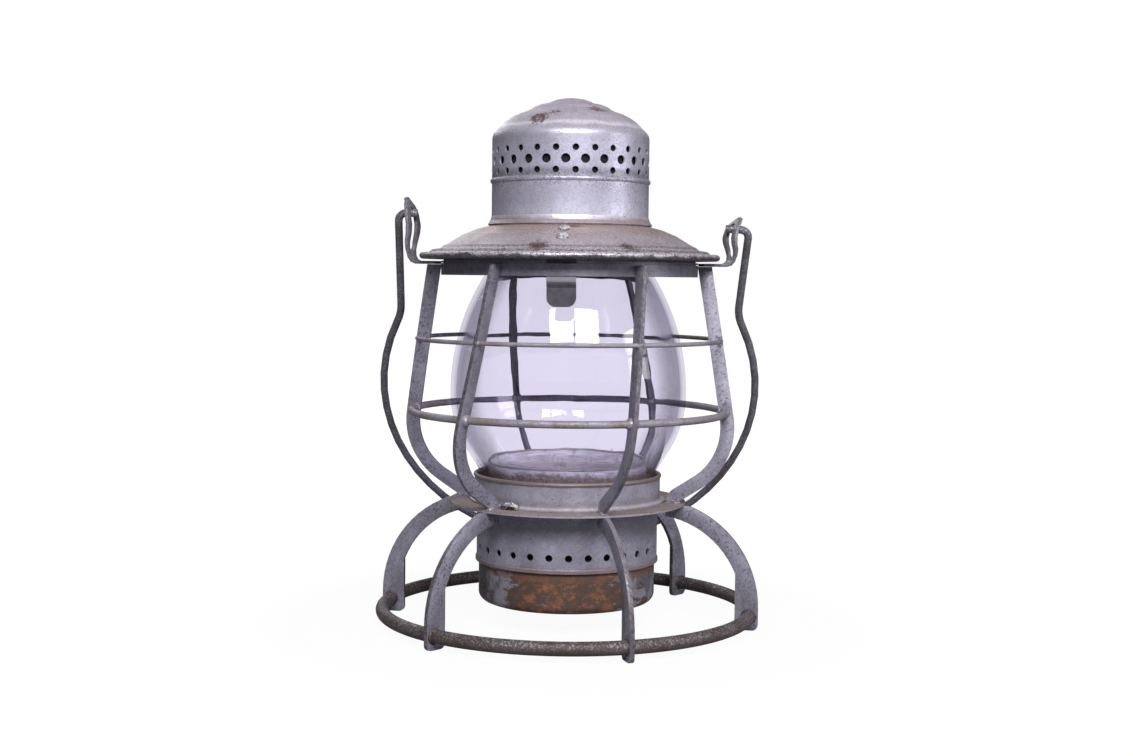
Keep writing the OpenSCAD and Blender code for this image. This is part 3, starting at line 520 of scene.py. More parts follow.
@dataclass(frozen=True)
class RustedPot:
    """Thin sheet that stood in damp: grey paint at the sides, and runs of orange and brown rust in front.

    The rust is layered and dull, the paint left between its patches is satin.
    """

    name: str = "Rust on the fount"
    paint: str = "#8b8694"
    dark: str = "#454145"
    brown: str = "#4f3d36"
    orange: str = "#9c633f"
    pit: str = "#2e2422"
    rim: Belt = Belt(SHELL_Z, -5.0, -0.5, "#6f4a37", soft_mm=0.5, ragged_mm=0.8)
    run_mm: float = 9.0
    patch_mm: float = 13.0
    fleck_mm: float = 3.4
    crumb_mm: float = 0.9
    roughness: float = 0.5
    depth_mm: float = 0.2

    def build(self) -> bpy.types.Material:
        """Builds the rust and the paint beside it.

        Returns:
            The material.
        """
        look = Palette(self.name)
        runs = look.mottle(self.run_mm, 7, 0.68, (2.2, 2.2, 0.8))
        flecks = look.mottle(self.fleck_mm, 7, 0.78, (1.5, 1.5, 1.2), 0.9)
        crumbs = look.mottle(self.crumb_mm, 3, 0.7, shift=0.4)
        front = self.front(look)
        stain = look.add(Kind.FREE_PLUS, runs, look.add(Kind.RAMP, front, 0, 1, -0.09, 0.18))
        stain = look.add(Kind.RAMP, stain, 0.5, 0.56)
        dark = look.add(Kind.RAMP, look.mottle(self.patch_mm, 4, 0.55, (1.0, 1.0, 2.0), 1.7), 0.5, 0.56)
        dark = look.add(Kind.TIMES, dark, look.add(Kind.RAMP, front, 0, 1, 0.9, 0.3))
        glow = look.add(Kind.FREE_PLUS, flecks, look.add(Kind.RAMP, front, 0, 1, -0.15, 0.02))
        glow = look.add(Kind.TIMES, look.add(Kind.RAMP, glow, 0.5, 0.63), stain)
        glow = look.add(Kind.TIMES, glow, look.add(Kind.RAMP, runs, 0.4, 0.65, 0.45, 0.95))
        dusty = look.add(Kind.RAMP, crumbs, 0.35, 0.7, 0, 0.4)
        colour = look.add(Kind.MIX, dusty, linear(self.paint), linear(self.dark))
        colour = look.add(Kind.MIX, dark, colour, linear(self.dark))
        colour = look.add(Kind.MIX, stain, colour, linear(self.brown))
        colour = look.add(Kind.MIX, glow, colour, linear(self.orange))
        rim = look.add(Kind.TIMES, look.inside(self.rim), look.add(Kind.RAMP, flecks, 0.4, 0.6, 0.3, 0.85))
        colour = look.add(Kind.MIX, rim, colour, linear(self.rim.colour))
        colour = look.add(Kind.MIX, look.add(Kind.RAMP, crumbs, 0.55, 0.75, 0, 0.5), colour, linear(self.pit))
        worn = look.add(Kind.LARGER, stain, glow)
        relief = look.add(Kind.PLUS, look.add(Kind.TIMES, crumbs, 0.5), look.add(Kind.TIMES, worn, 0.4))
        return look.shade(
            {
                "Base Color": colour,
                "Roughness": look.add(Kind.RAMP, worn, 0, 1, self.roughness, self.roughness + 0.3),
                "Metallic": 0.1,
                "Normal": look.add(Kind.BUMP, relief, self.depth_mm * MM),
            }
        )

    @staticmethod
    def front(look: Palette) -> bpy.types.NodeSocket:
        """Finds the front of the pot, where it rusts most.

        Args:
            look: The material's palette.

        Returns:
            1 in front, about a third on the right side and 0 elsewhere.
        """
        away = look.add(Kind.DIRECTION, look.outward())
        front = look.add(Kind.RAMP, look.add(Kind.Y, away), -0.72, -0.93)
        right = look.add(Kind.RAMP, look.add(Kind.X, away), 0.3, 0.75)
        return look.add(Kind.PLUS, front, look.add(Kind.TIMES, right, 0.35))


@dataclass(frozen=True)
class RubbedSteel:
    """Bare spring steel or tinned sheet, rolled and rubbed bright, with dark stains.

    Fine lines run along the sheet. Real ones are too fine to show, so they are drawn 0.5 mm wide.
    """

    name: str
    steel: str
    stain: str
    line_mm: float = 0.5
    line_stretch: Point = (18.0, 18.0, 1.0)
    line_share: float = 0.35
    line_depth_mm: float = 0.03
    stain_mm: float = 6.0
    stain_share: float = 0.35
    roughness: float = 0.30
    metallic: float = 0.9
    belts: tuple[Belt, ...] = ()

    def build(self) -> bpy.types.Material:
        """Builds the rubbed sheet.

        Returns:
            The material.
        """
        look = Palette(self.name)
        lines = look.mottle(self.line_mm, 2, 0.5, self.line_stretch)
        full = 0.9 - self.stain_share * 0.4
        stains = look.add(Kind.RAMP, look.mottle(self.stain_mm, 5, 0.65, shift=0.2), full - 0.18, full)
        colour = look.add(Kind.MIX, stains, linear(self.steel), linear(self.stain))
        drawn = look.add(Kind.RAMP, lines, 0.42, 0.68, 0, self.line_share)
        colour = look.add(Kind.MIX, drawn, colour, linear(self.stain))
        return look.shade(
            {
                "Base Color": look.belted(colour, self.belts),
                "Roughness": look.add(Kind.RAMP, stains, 0, 1, self.roughness, self.roughness + 0.3),
                "Metallic": self.metallic,
                "Normal": look.add(Kind.BUMP, lines, self.line_depth_mm * MM),
            }
        )


@dataclass(frozen=True)
class HammeredRivet:
    """A soft rivet head struck by hand: bright lumpy metal with painted shade round its foot.

    The axis is the way that the heads face. The lumps are drawn deeper than they are, so that they
    show.
    """

    name: str = "Hammered rivet metal"
    bright: str = "#d9d7de"
    dull: str = "#8b878b"
    # Painted shade on the sides of each head, where the surface turns away from the axis.
    dirt: str = "#3d3837"
    lump_mm: float = 1.3
    lump_depth_mm: float = 2.0
    axis: Point = (0.0, -0.55, 0.84)
    roughness: float = 0.3

    def build(self) -> bpy.types.Material:
        """Builds the struck metal.

        Returns:
            The material.
        """
        look = Palette(self.name)
        lumps = look.mottle(self.lump_mm, 2, 0.5)
        # Where the head turns away from the axis it takes painted shade instead of its struck metal.
        top = look.add(Kind.RAMP, look.add(Kind.DOT, look.face, self.axis), 0.6, 0.9)
        struck = look.add(Kind.RAMP, lumps, 0.5, 0.66, 0, 0.7)
        colour = look.add(Kind.MIX, struck, linear(self.bright), linear(self.dull))
        return look.shade(
            {
                "Base Color": look.add(Kind.MIX, top, linear(self.dirt), colour),
                "Roughness": self.roughness,
                "Metallic": 0.5,
                "Normal": look.add(Kind.BUMP, lumps, self.lump_depth_mm * MM),
            }
        )


@dataclass(frozen=True)
class BlownGlass:
    """Mould-blown soda glass: clear with a breath of manganese violet, faint waves and grime round its foot.

    Where its wall is seen edge-on it is a clear tint, which keeps it as pale there as in the photograph.
    """

    name: str = "Clear soda glass"
    tint: str = "#f2effb"
    edge_tint: str = "#edebf3"
    shadow_tint: str = "#eeecf8"
    edge_share: float = 0.94
    grime: Belt = Belt(DECK_Z, 1.6, 16.2, "#75655c", soft_mm=1.6, ragged_mm=2.6)
    grime_mm: float = 2.4
    wave_mm: float = 26.0
    wave_depth_mm: float = 1.2
    wave_strength: float = 0.25
    ior: float = 1.5
    roughness: float = 0.0

    def build(self) -> bpy.types.Material:
        """Builds the glass, which lets the lamps' light through to what is inside.

        Returns:
            The material.
        """
        look = Palette(self.name)
        waves = look.mottle(self.wave_mm, 2, 0.4)
        feeds = {
            "Base Color": linear(self.tint),
            "Roughness": self.roughness,
            "IOR": self.ior,
            "Transmission Weight": 1.0,
            "Normal": look.add(Kind.BUMP, waves, self.wave_depth_mm * MM, self.wave_strength),
        }
        glass = add_node(look.tree, "ShaderNodeBsdfPrincipled", feeds).outputs[0]
        grazing = add_node(look.tree, "ShaderNodeLayerWeight", {"Blend": 0.5}).outputs["Facing"]
        share = look.add(Kind.RAMP, grazing, 0.35, 0.78, 0.0, self.edge_share)
        body = look.add(Kind.BLEND, share, glass, look.add(Kind.CLEAR, linear(self.edge_tint)))
        film = look.add(Kind.RAMP, look.mottle(self.grime_mm, 5, 0.7, shift=0.8), 0.4, 0.62, 0.2, 0.75)
        film = look.add(Kind.TIMES, look.inside(self.grime), film)
        body = look.add(Kind.BLEND, film, body, look.add(Kind.MATT, linear(self.grime.colour)))
        shadow = add_node(look.tree, "ShaderNodeLightPath").outputs["Is Shadow Ray"]
        return look.show(look.add(Kind.BLEND, shadow, body, look.add(Kind.CLEAR, linear(self.shadow_tint))))


@dataclass(frozen=True)
class WovenCotton:
    """Flat-woven cotton lamp wick: soft off-white yarn in crossing rows, about a millimetre apart, with
    painted shade between the yarns.
    """

    name: str = "Woven cotton wick"
    yarn: str = "#d9d0bd"
    # Painted shade between the yarns.
    gap: str = "#8f8471"
    pitch_mm: float = 0.9
    depth_mm: float = 0.15

    def build(self) -> bpy.types.Material:
        """Builds the weave.

        Returns:
            The material.
        """
        look = Palette(self.name)
        turns = math.pi / (self.pitch_mm * MM)
        warp = look.add(Kind.SINE, look.add(Kind.FREE_TIMES, look.add(Kind.X, look.place), turns))
        weft = look.add(Kind.SINE, look.add(Kind.FREE_TIMES, look.add(Kind.Z, look.place), turns))
        yarns = look.add(Kind.RAMP, look.add(Kind.FREE_TIMES, warp, weft), -0.7, 0.7)
        return look.shade(
            {
                "Base Color": look.add(Kind.MIX, yarns, linear(self.gap), linear(self.yarn)),
                "Roughness": 0.9,
                "Sheen Weight": 0.3,
                "Normal": look.add(Kind.BUMP, yarns, self.depth_mm * MM),
            }
        )


@dataclass(frozen=True)
class DullBrass:
    """Stamped lamp brass gone brown: warm metal under a thin, uneven tarnish."""

    name: str = "Tarnished brass"
    bright: str = "#b59a62"
    brown: str = "#6a563a"
    film_mm: float = 4.0
    grain_mm: float = 0.8
    depth_mm: float = 0.04

    def build(self) -> bpy.types.Material:
        """Builds the brass.

        Returns:
            The material.
        """
        look = Palette(self.name)
        film = look.add(Kind.RAMP, look.mottle(self.film_mm, 5, 0.65), 0.35, 0.65)
        return look.shade(
            {
                "Base Color": look.add(Kind.MIX, film, linear(self.bright), linear(self.brown)),
                "Roughness": look.add(Kind.RAMP, film, 0, 1, 0.3, 0.55),
                "Metallic": 0.9,
                "Normal": look.add(Kind.BUMP, look.mottle(self.grain_mm, 3), self.depth_mm * MM),
            }
        )


def chimney_paint() -> bpy.types.Material:
    """The palest paint, with painted shade at its bends and above the bead, a painted highlight on the dome's
    lowest step, soot round the bead and brown dirt at its foot.
    """
    return WornPaint(
        "Aluminium paint on the chimney",
        "#c9c6dc",
        "#b5b2c6",
        "#aa9a99",
        edge="#857e88",
        pit_share=0.3,
        pit_mm=0.8,
        grit_share=0.36,
        grit_mm=0.6,
        belts=(
            # A painted highlight on the dome's lowest step.
            Belt(SHOULDER_Z, 4.6, 6.4, "#e9e6f1", 0.6, 0.5, 0.5),
            # Painted shade on the rounded shoulder, below that step.
            Belt(SHOULDER_Z, -4.0, 3.0, "#aba6b6", 0.45, 2.0, 1.0),
            # Painted shade just above the bead.
            Belt(BEAD_Z, 1.0, 4.2, "#7f7a86", 0.6, 1.0, 0.8),
            # Specks of soot round the bead.
            Belt(BEAD_Z, -5.3, 3.7, "#4b464f", 0.6, 2.5, 0.0, 0.8),
            # The wall below the bead, a little greyer.
            Belt(BEAD_Z, -9.3, -1.3, "#b3aec0", 0.4, 3.0, 2.0),
            # Brown dirt at the chimney's foot.
            Belt(CHIMNEY_Z, -0.9, 1.9, "#97857e", 0.75, 0.8, 1.0),
            # The wall above it, paler.
            Belt(CHIMNEY_Z, 1.7, 7.1, "#e4e1ee", 0.25, 2.0, 1.0),
        ),
        stains=(
            Stain((-14.0, -26.5, 234.5), 9.0, 2.0),
            Stain((-7.0, -25.0, 236.5), 6.0, 1.6),
            Stain((12.0, -18.0, 240.0), 9.0, 1.6, "#7d6257"),
        ),
    ).build()


def hood_paint() -> bpy.types.Material:
    """Dusty paint, brown round the chimney's foot, with painted highlights on the brim's step and rolled
    edge, and painted shade behind and below them.
    """
    return WornPaint(
        "Dusty aluminium paint on the hood",
        "#beb8c5",
        "#a69faa",
        "#a8938f",
        edge="#84797c",
        pit_share=0.34,
        pit_mm=1.0,
        rust_share=0.07,
        grit_share=0.32,
        dust_share=0.36,
        belts=(
            # Brown dust round the chimney's foot.
            Belt(CHIMNEY_Z, -5.4, 1.6, "#a2877a", 0.62, 2.6, 1.8),
            # A painted highlight on the hood's low step.
            Belt(BRIM_Z, 3.0, 3.7, "#dedae2", 0.5, 0.3, 0.3),
            # Painted shade behind that step.
            Belt(BRIM_Z, 3.9, 4.7, "#7d7377", 0.5, 0.3, 0.3),
            # Painted shade on the underside of the rolled edge.
            Belt(BRIM_Z, -3.2, 0.0, "#453f43", 0.85, 0.4, 1.1),
            # A painted highlight along the top of the rolled edge.
            Belt(BRIM_Z, 0.5, 1.7, "#e2dee6", 0.6, 0.3, 0.8),
            # Painted shade behind the rolled edge.
            Belt(BRIM_Z, 1.8, 2.5, "#5d5558", 0.45, 0.2, 0.6),
            # Dark specks all over the brim.
            Belt(BRIM_Z, -1.7, 4.6, "#2c2629", 0.8, 0.8, 0.0, 0.8),
        ),
        stains=(
            Stain((-14.0, -60.0, 178.5), 11.0, 0.9, "#4f382e"),
            Stain((26.0, -56.0, 178.0), 9.0, 0.9, "#4f382e"),
            Stain((2.0, -41.0, 186.0), 6.0, 1.2, "#6b4f41"),
        ),
    ).build()


def rib_paint() -> bpy.types.Material:
    """Darker paint, worn and dirty along the narrow edges of the bars."""
    return WornPaint(
        "Aluminium paint on the ribs",
        "#a19eaf",
        "#8a8695",
        "#7f7577",
        edge="#4c4141",
        edge_share=0.8,
        pit_share=0.38,
        pit_mm=1.2,
        grit_share=0.32,
    ).build()


def band_paint() -> bpy.types.Material:
    """Paint that the smoke has darkened."""
    return WornPaint(
        "Sooty paint under the brim", "#9793a3", "#7b7785", "#746a70", edge="#524b52", pit_share=0.3
    ).build()


def collar_paint() -> bpy.types.Material:
    """Pale paint with a rusty rolled edge and dirt in the corner on the deck."""
    return WornPaint(
        "Aluminium paint on the collar",
        "#b5b1c1",
        "#a09cab",
        "#8b7e7c",
        edge="#766a69",
        rust_share=0.06,
        belts=(
            # The rusty rolled edge.
            Belt(DECK_Z, 10.8, 14.2, "#84736a", 0.75, 0.4, 0.6),
            # The collar's foot, rubbed pale.
            Belt(DECK_Z, -1.4, 1.8, "#d7d2d8", 0.5, 0.4, 0.3),
            # Dirt above the foot.
            Belt(DECK_Z, 2.0, 4.6, "#8d7f7f", 0.45, 0.8, 0.8),
        ),
    ).build()


def shell_paint() -> bpy.types.Material:
    """Grey paint, with painted shade under the deck and brown along the shell's lower edge."""
    return WornPaint(
        "Aluminium paint on the shell",
        "#a9a6b9",
        "#8f8b9c",
        "#857b7d",
        edge="#6f6870",
        pit_share=0.3,
        belts=(
            # Painted shade under the deck.
            Belt(DECK_Z, -13.4, -0.9, "#6d6a75", 0.6, 3.0, 3.5),
            # The brown lower edge.
            Belt(SHELL_Z, -3.0, 1.2, "#836e66", 0.65, 0.5, 0.9),
        ),
    ).build()


def deck_paint() -> bpy.types.Material:
    """Paint under thick brown dust, rubbed pale along the deck's rim."""
    return WornPaint(
        "Brown dust on the deck",
        "#a39ca4",
        "#90878c",
        "#8c7a75",
        edge="#5c4d49",
        rust_share=0.1,
        dust_share=1.0,
        pit_share=0.32,
        belts=(Belt(DECK_Z, -1.4, -0.25, "#c3bec7", 0.6, 0.1, 0.2),),
    ).build()


def solder_paint() -> bpy.types.Material:
    """Lumps of solder under the paint of the ribs, rougher than the bars."""
    return WornPaint(
        "Painted solder",
        "#aaa7b4",
        "#8d8994",
        "#7f7577",
        edge="#5a5050",
        pit_share=0.38,
        pit_mm=1.0,
        depth_mm=0.2,
    ).build()


def weld_rust() -> bpy.types.Material:
    """Welds that have lost their paint: rough and brown."""
    return WornPaint(
        "Rusty weld",
        "#62534f",
        "#4d3e3a",
        "#55433d",
        rust="#4f372e",
        edge="#382d2a",
        rust_share=0.14,
        depth_mm=0.3,
    ).build()


def guard_wire() -> bpy.types.Material:
    """Wire that was painted with the cage, so that it is the palest of the wires."""
    return SpeckledWire(
        "Painted guard wire", "#8d8994", "#7a6f70", "#b9b6c2", rubbed_share=0.6, roughness=0.45, depth_mm=0.08
    ).build()


def bail_wire() -> bpy.types.Material:
    """Dark wire that hands have rubbed."""
    return SpeckledWire("Dark spring wire", "#5f5c65", "#524c50", "#b4b2bc", 0.9, 0.65, 0.3, 0.42).build()


def ear_steel() -> bpy.types.Material:
    """Strap steel that the bail has rubbed."""
    return SpeckledWire("Rubbed strap steel", "#75727b", "#5d575c", "#bab8c2", 1.1, 0.6, 0.2, 0.4).build()


def base_wire() -> bpy.types.Material:
    """The brownest wire, rubbed bright on top."""
    return SpeckledWire("Rusty base wire", "#4d4244", "#443632", "#b9b5bc", 0.9, 0.85, 0.9, 0.5).build()


def chimney_soot() -> bpy.types.Material:
    """Soot baked on steel: nearly black and dull."""
    return SpeckledWire("Soot in the chimney", "#1d1b1d", "#151315", "#3a3638", 1.2, 0.1, 0.3, 0.8).build()


def latch_spring() -> bpy.types.Material:
    """Spring steel, with painted shade where it lies under the hood and a painted highlight on the bend of
    its hook.
    """
    return RubbedSteel(
        "Rubbed spring steel",
        "#6b6772",
        "#3f3b42",
        line_stretch=(6.0, 6.0, 6.0),
        metallic=0.6,
        belts=(
            # Painted shade on the part under the hood.
            Belt(RIB_TOP_Z, -1.6, 20.8, "#5b5762", 0.92, 0.4),
            # A painted highlight on the hook's bend below the band.
            Belt(RIB_TOP_Z, -7.6, -2.8, "#bdb9c2", 0.8, 1.3),
        ),
    ).build()


def cup_tin() -> bpy.types.Material:
    """Tinned sheet, drawn bright, darker below the collar's edge and dirty along its rim."""
    return RubbedSteel(
        "Tinned sheet",
        "#e4e3e5",
        "#85828a",
        stain_share=0.45,
        line_share=0.6,
        roughness=0.36,
        metallic=0.3,
        belts=(
            # The part that stands inside the collar.
            Belt(DECK_Z, -0.4, 15.1, "#6d625f", 0.6, 1.5),
            # The cup's rim.
            Belt(DECK_Z, 18.5, 19.8, "#5c5556", 0.7, 0.2),
        ),
    ).build()


@dataclass
class Finishes:
    """Every finish of the lantern, each built once."""

    chimney: bpy.types.Material = field(default_factory=chimney_paint)
    hood: bpy.types.Material = field(default_factory=hood_paint)
    ribs: bpy.types.Material = field(default_factory=rib_paint)
    band: bpy.types.Material = field(default_factory=band_paint)
    collar: bpy.types.Material = field(default_factory=collar_paint)
    shell: bpy.types.Material = field(default_factory=shell_paint)
    deck: bpy.types.Material = field(default_factory=deck_paint)
    solder: bpy.types.Material = field(default_factory=solder_paint)
    weld: bpy.types.Material = field(default_factory=weld_rust)
    wire: bpy.types.Material = field(default_factory=guard_wire)
    bail: bpy.types.Material = field(default_factory=bail_wire)
    ears: bpy.types.Material = field(default_factory=ear_steel)
    base: bpy.types.Material = field(default_factory=base_wire)
    soot: bpy.types.Material = field(default_factory=chimney_soot)
    spring: bpy.types.Material = field(default_factory=latch_spring)
    tinned: bpy.types.Material = field(default_factory=cup_tin)
    fount: bpy.types.Material = field(default_factory=RustedPot().build)
    rivets: bpy.types.Material = field(default_factory=HammeredRivet().build)
    glass: bpy.types.Material = field(default_factory=BlownGlass().build)
    brass: bpy.types.Material = field(default_factory=DullBrass().build)
    cotton: bpy.types.Material = field(default_factory=WovenCotton().build)


@dataclass(frozen=True)
class LumpRing:
    """Lumps of one size at equal steps round the upright axis, in degrees and millimetres.

    Half is a lump's half size outwards, along the ring and upwards.
    """

    first_angle: float
    radius: float
    z: float
    half: Point
    uneven: float = 0.12
    count: int = 6


class Workshop:
    """Shapes new meshes by hand-like steps and gives them their place, finish and body."""

    def __init__(self, nodes: Mapping[str, bpy.types.Object]) -> None:
        """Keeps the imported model's nodes, by name, at hand."""
        self.nodes = nodes

    @staticmethod
    def only(obj: bpy.types.Object) -> None:
        """Deselects everything else and makes one object active and selected.

        Args:
            obj: The object.
        """
        if bpy.context.mode != "OBJECT":
            bpy.ops.object.mode_set(mode="OBJECT")
        bpy.ops.object.select_all(action="DESELECT")
        bpy.context.view_layer.objects.active = obj
        obj.select_set(True)

    def apply(self, obj: bpy.types.Object, kind: str, **settings: object) -> None:
        """Adds a modifier with its settings and applies it.

        Args:
            obj: The object that gets it.
            kind: The modifier's type.
            settings: The modifier's own properties.
        """
        self.only(obj)
        modifier = obj.modifiers.new(kind.title(), kind)
        for name, value in settings.items():
            setattr(modifier, name, value)
        bpy.ops.object.modifier_apply(modifier=modifier.name)

    def settle(self, obj: bpy.types.Object) -> None:
        """Moves the object's place into its mesh, so that it sits at the origin, unturned and unscaled."""
        self.only(obj)
        bpy.ops.object.transform_apply(location=True, rotation=True, scale=True)

    def smooth(self, obj: bpy.types.Object, degrees: float) -> None:
        """Shades the object smooth wherever its faces meet at less than the angle."""
        self.only(obj)
        bpy.ops.object.shade_smooth_by_angle(angle=math.radians(degrees))

    def lathe(self, name: str, outline: Sequence[tuple[float, float]], steps: int) -> bpy.types.Object:
        """Turns a closed outline round the upright axis.

        Args:
            name: The piece's name.
            outline: Radius and height of each point, in millimetres.
            steps: How many copies of the outline make the turn.

        Returns:
            The turned object.
        """
        bpy.ops.object.select_all(action="DESELECT")
        first = Vector((outline[0][0] * MM, 0, outline[0][1] * MM))
        bpy.ops.mesh.primitive_plane_add(size=MM, location=first)
        obj = bpy.context.object
        obj.name = obj.data.name = name
        self.settle(obj)
        bpy.ops.object.mode_set(mode="EDIT")
        bpy.ops.mesh.select_all(action="SELECT")
        bpy.ops.mesh.merge(type="CENTER")
        before = first
        for radius, height in list(outline[1:]) + [outline[0]]:
            point = Vector((radius * MM, 0, height * MM))
            bpy.ops.mesh.extrude_region_move(TRANSFORM_OT_translate={"value": point - before})
            before = point
        bpy.ops.mesh.select_all(action="SELECT")
        bpy.ops.mesh.remove_doubles(threshold=MERGE_MM * MM)
        bpy.ops.mesh.select_all(action="SELECT")
        bpy.ops.mesh.spin(steps=steps, angle=2 * math.pi, center=(0, 0, 0), axis=(0, 0, 1))
        bpy.ops.mesh.select_all(action="SELECT")
        bpy.ops.mesh.remove_doubles(threshold=MERGE_MM * MM)
        bpy.ops.mesh.normals_make_consistent(inside=False)
        bpy.ops.object.mode_set(mode="OBJECT")
        return obj

    def lumps(self, name: str, ring: LumpRing) -> bpy.types.Object:
        """Sets the rounded, uneven lumps of a ring, all in one object.

        Args:
            name: The piece's name.
            ring: Where the lumps sit and how large they are.

        Returns:
            The lumps.
        """
        made = []
        for i in range(ring.count):
            turn = math.radians(ring.first_angle) + 2 * math.pi * i / ring.count
            place = Vector((math.cos(turn) * ring.radius, math.sin(turn) * ring.radius, ring.z)) * MM
            bpy.ops.object.select_all(action="DESELECT")
            bpy.ops.mesh.primitive_uv_sphere_add(segments=16, ring_count=10, radius=MM, location=place)
            lump = bpy.context.object
            lump.rotation_euler = (0.0, 0.0, turn)
            lump.scale = ring.half
            self.settle(lump)
            bpy.ops.object.mode_set(mode="EDIT")
            bpy.ops.mesh.select_all(action="SELECT")
            bpy.ops.transform.vertex_random(offset=ring.uneven * MM, uniform=1.0, normal=0.5, seed=i)
            bpy.ops.object.mode_set(mode="OBJECT")
            made.append(lump)
        if len(made) > 1:
            for lump in made:
                lump.select_set(True)
            bpy.context.view_layer.objects.active = made[0]
            bpy.ops.object.join()
        obj = made[0]
        obj.name = obj.data.name = name
        self.settle(obj)
        self.smooth(obj, 60)
        return obj

    def copy_of(self, node: str, name: str) -> bpy.types.Object:
        """Copies a CAD node's mesh into a new, merged object.

        Args:
            node: The CAD node.
            name: The copy's name.

        Returns:
            The copy, with its flat faces joined.
        """
        obj = bpy.data.objects.new(name, self.nodes[node].data.copy())
        bpy.context.scene.collection.objects.link(obj)
        self.only(obj)
        obj.data.materials.clear()
        bpy.ops.object.mode_set(mode="EDIT")
        bpy.ops.mesh.select_all(action="SELECT")
        bpy.ops.mesh.remove_doubles(threshold=MERGE_MM * MM)
        bpy.ops.mesh.dissolve_limited(angle_limit=math.radians(0.5))
        bpy.ops.object.mode_set(mode="OBJECT")
        return obj

    def softened(self, node: str, name: str, edge_mm: float) -> bpy.types.Object:
        """Copies a CAD node and rounds the copy's sharp edges.

        Args:
            node: The CAD node.
            name: The piece's name.
            edge_mm: The width of the rounding.

        Returns:
            The piece.
        """
        obj = self.copy_of(node, name)
        self.apply(
            obj,
            "BEVEL",
            width=edge_mm * MM,
            segments=2,
            limit_method="ANGLE",
            angle_limit=math.radians(40),
            use_clamp_overlap=True,
        )
        self.smooth(obj, 40)
        return obj

    def finish(
        self,
        obj: bpy.types.Object,
        material: bpy.types.Material,
        body: Body,
        stands_for: Sequence[str] = (),
    ) -> None:
        """Gives a piece its material, its body and the nodes that it stands for.

        Args:
            obj: The piece.
            material: Its finish.
            body: The CAD body that it rides on.
            stands_for: CAD nodes that it replaces.
        """
        obj.data.materials.clear()
        obj.data.materials.append(material)
        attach(obj, body.value)
        if stands_for:
            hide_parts(*stands_for)
        LOG.info("%s rides on %s with %d faces", obj.name, body.value, len(obj.data.polygons))

    def dress(self, looks: Mapping[str, bpy.types.Material]) -> None:
        """Gives CAD nodes their procedural materials.

        Args:
            looks: The material of each node.
        """
        for node, material in looks.items():
            mesh = self.nodes[node].data
            mesh.materials.clear()
            mesh.materials.append(material)
            LOG.info("%s is dressed in %s", node, material.name)


@dataclass
class Cage:
    """The ribs with their legs, the wires, the deck and the fount that hangs in it.

    Solder and weld sit where the wires and the base ring pass the ribs and where the ribs meet the
    deck, and one smear of solder was added to the deck in a repair.
    """

    rib_count: int = 6
    rib_edge: float = 0.45
    upper_solder: LumpRing = LumpRing(-64.3, 71.3, DECK_Z + 76.1, (1.45, 2.3, 1.45))
    lower_solder: LumpRing = LumpRing(-68.0, 73.9, DECK_Z + 42.2, (2.6, 3.5, 2.7), 0.25)
    deck_solder: LumpRing = LumpRing(-72.0, 52.4, DECK_Z + 0.2, (2.2, 2.4, 1.1))
    foot_weld: LumpRing = LumpRing(-72.0, BASE_RING_R, BASE_RING_Z, (3.9, 3.1, 3.9), 0.25)
    repair_solder: LumpRing = LumpRing(-125.0, 45.8, DECK_Z + 1.2, (2.0, 5.2, 1.7), 0.4, 1)

    def build(self, shop: Workshop, looks: Finishes) -> None:
        """Rounds the ribs' edges, adds solder and weld and dresses the cage's other nodes.

        Args:
            shop: The workshop.
            looks: The finishes.
        """
        for i in range(1, self.rib_count + 1):
            rib = shop.softened(f"rib_{i}", f"rib_bar_{i}", self.rib_edge)
            shop.finish(rib, looks.ribs, Body.CAGE, [f"rib_{i}"])
        self.build_joints(shop, looks)
        shop.dress(
            {
                "base_ring": looks.base,
                "guard_wire_upper": looks.wire,
                "guard_wire_lower": looks.wire,
                "top_band": looks.band,
                "deck_plate": looks.deck,
                "globe_collar": looks.collar,
                "burner_cup": looks.tinned,
                "fount_shell": looks.shell,
                "fount": looks.fount,
                "filler_cap": looks.fount,
                "burner": looks.brass,
                "wick_wheel": looks.brass,
                "wick": looks.cotton,
                "hinge_bracket": looks.shell,
                "hinge_pin": looks.wire,
            }
        )

    def build_joints(self, shop: Workshop, looks: Finishes) -> None:
        """Adds the lumps of solder and weld.

        Args:
            shop: The workshop.
            looks: The finishes.
        """
        for name, ring, coat, slot in (
            ("solder_upper", self.upper_solder, looks.solder, Slot.ALUMINIUM_PAINT),
            ("solder_lower", self.lower_solder, looks.solder, Slot.ALUMINIUM_PAINT),
            ("solder_deck", self.deck_solder, looks.solder, Slot.ALUMINIUM_PAINT),
            ("weld_base", self.foot_weld, looks.weld, Slot.BASE_WIRE),
            ("solder_repair", self.repair_solder, looks.rivets, Slot.TINNED),
        ):
            shop.finish(shop.lumps(name, ring), coat, Body.CAGE)


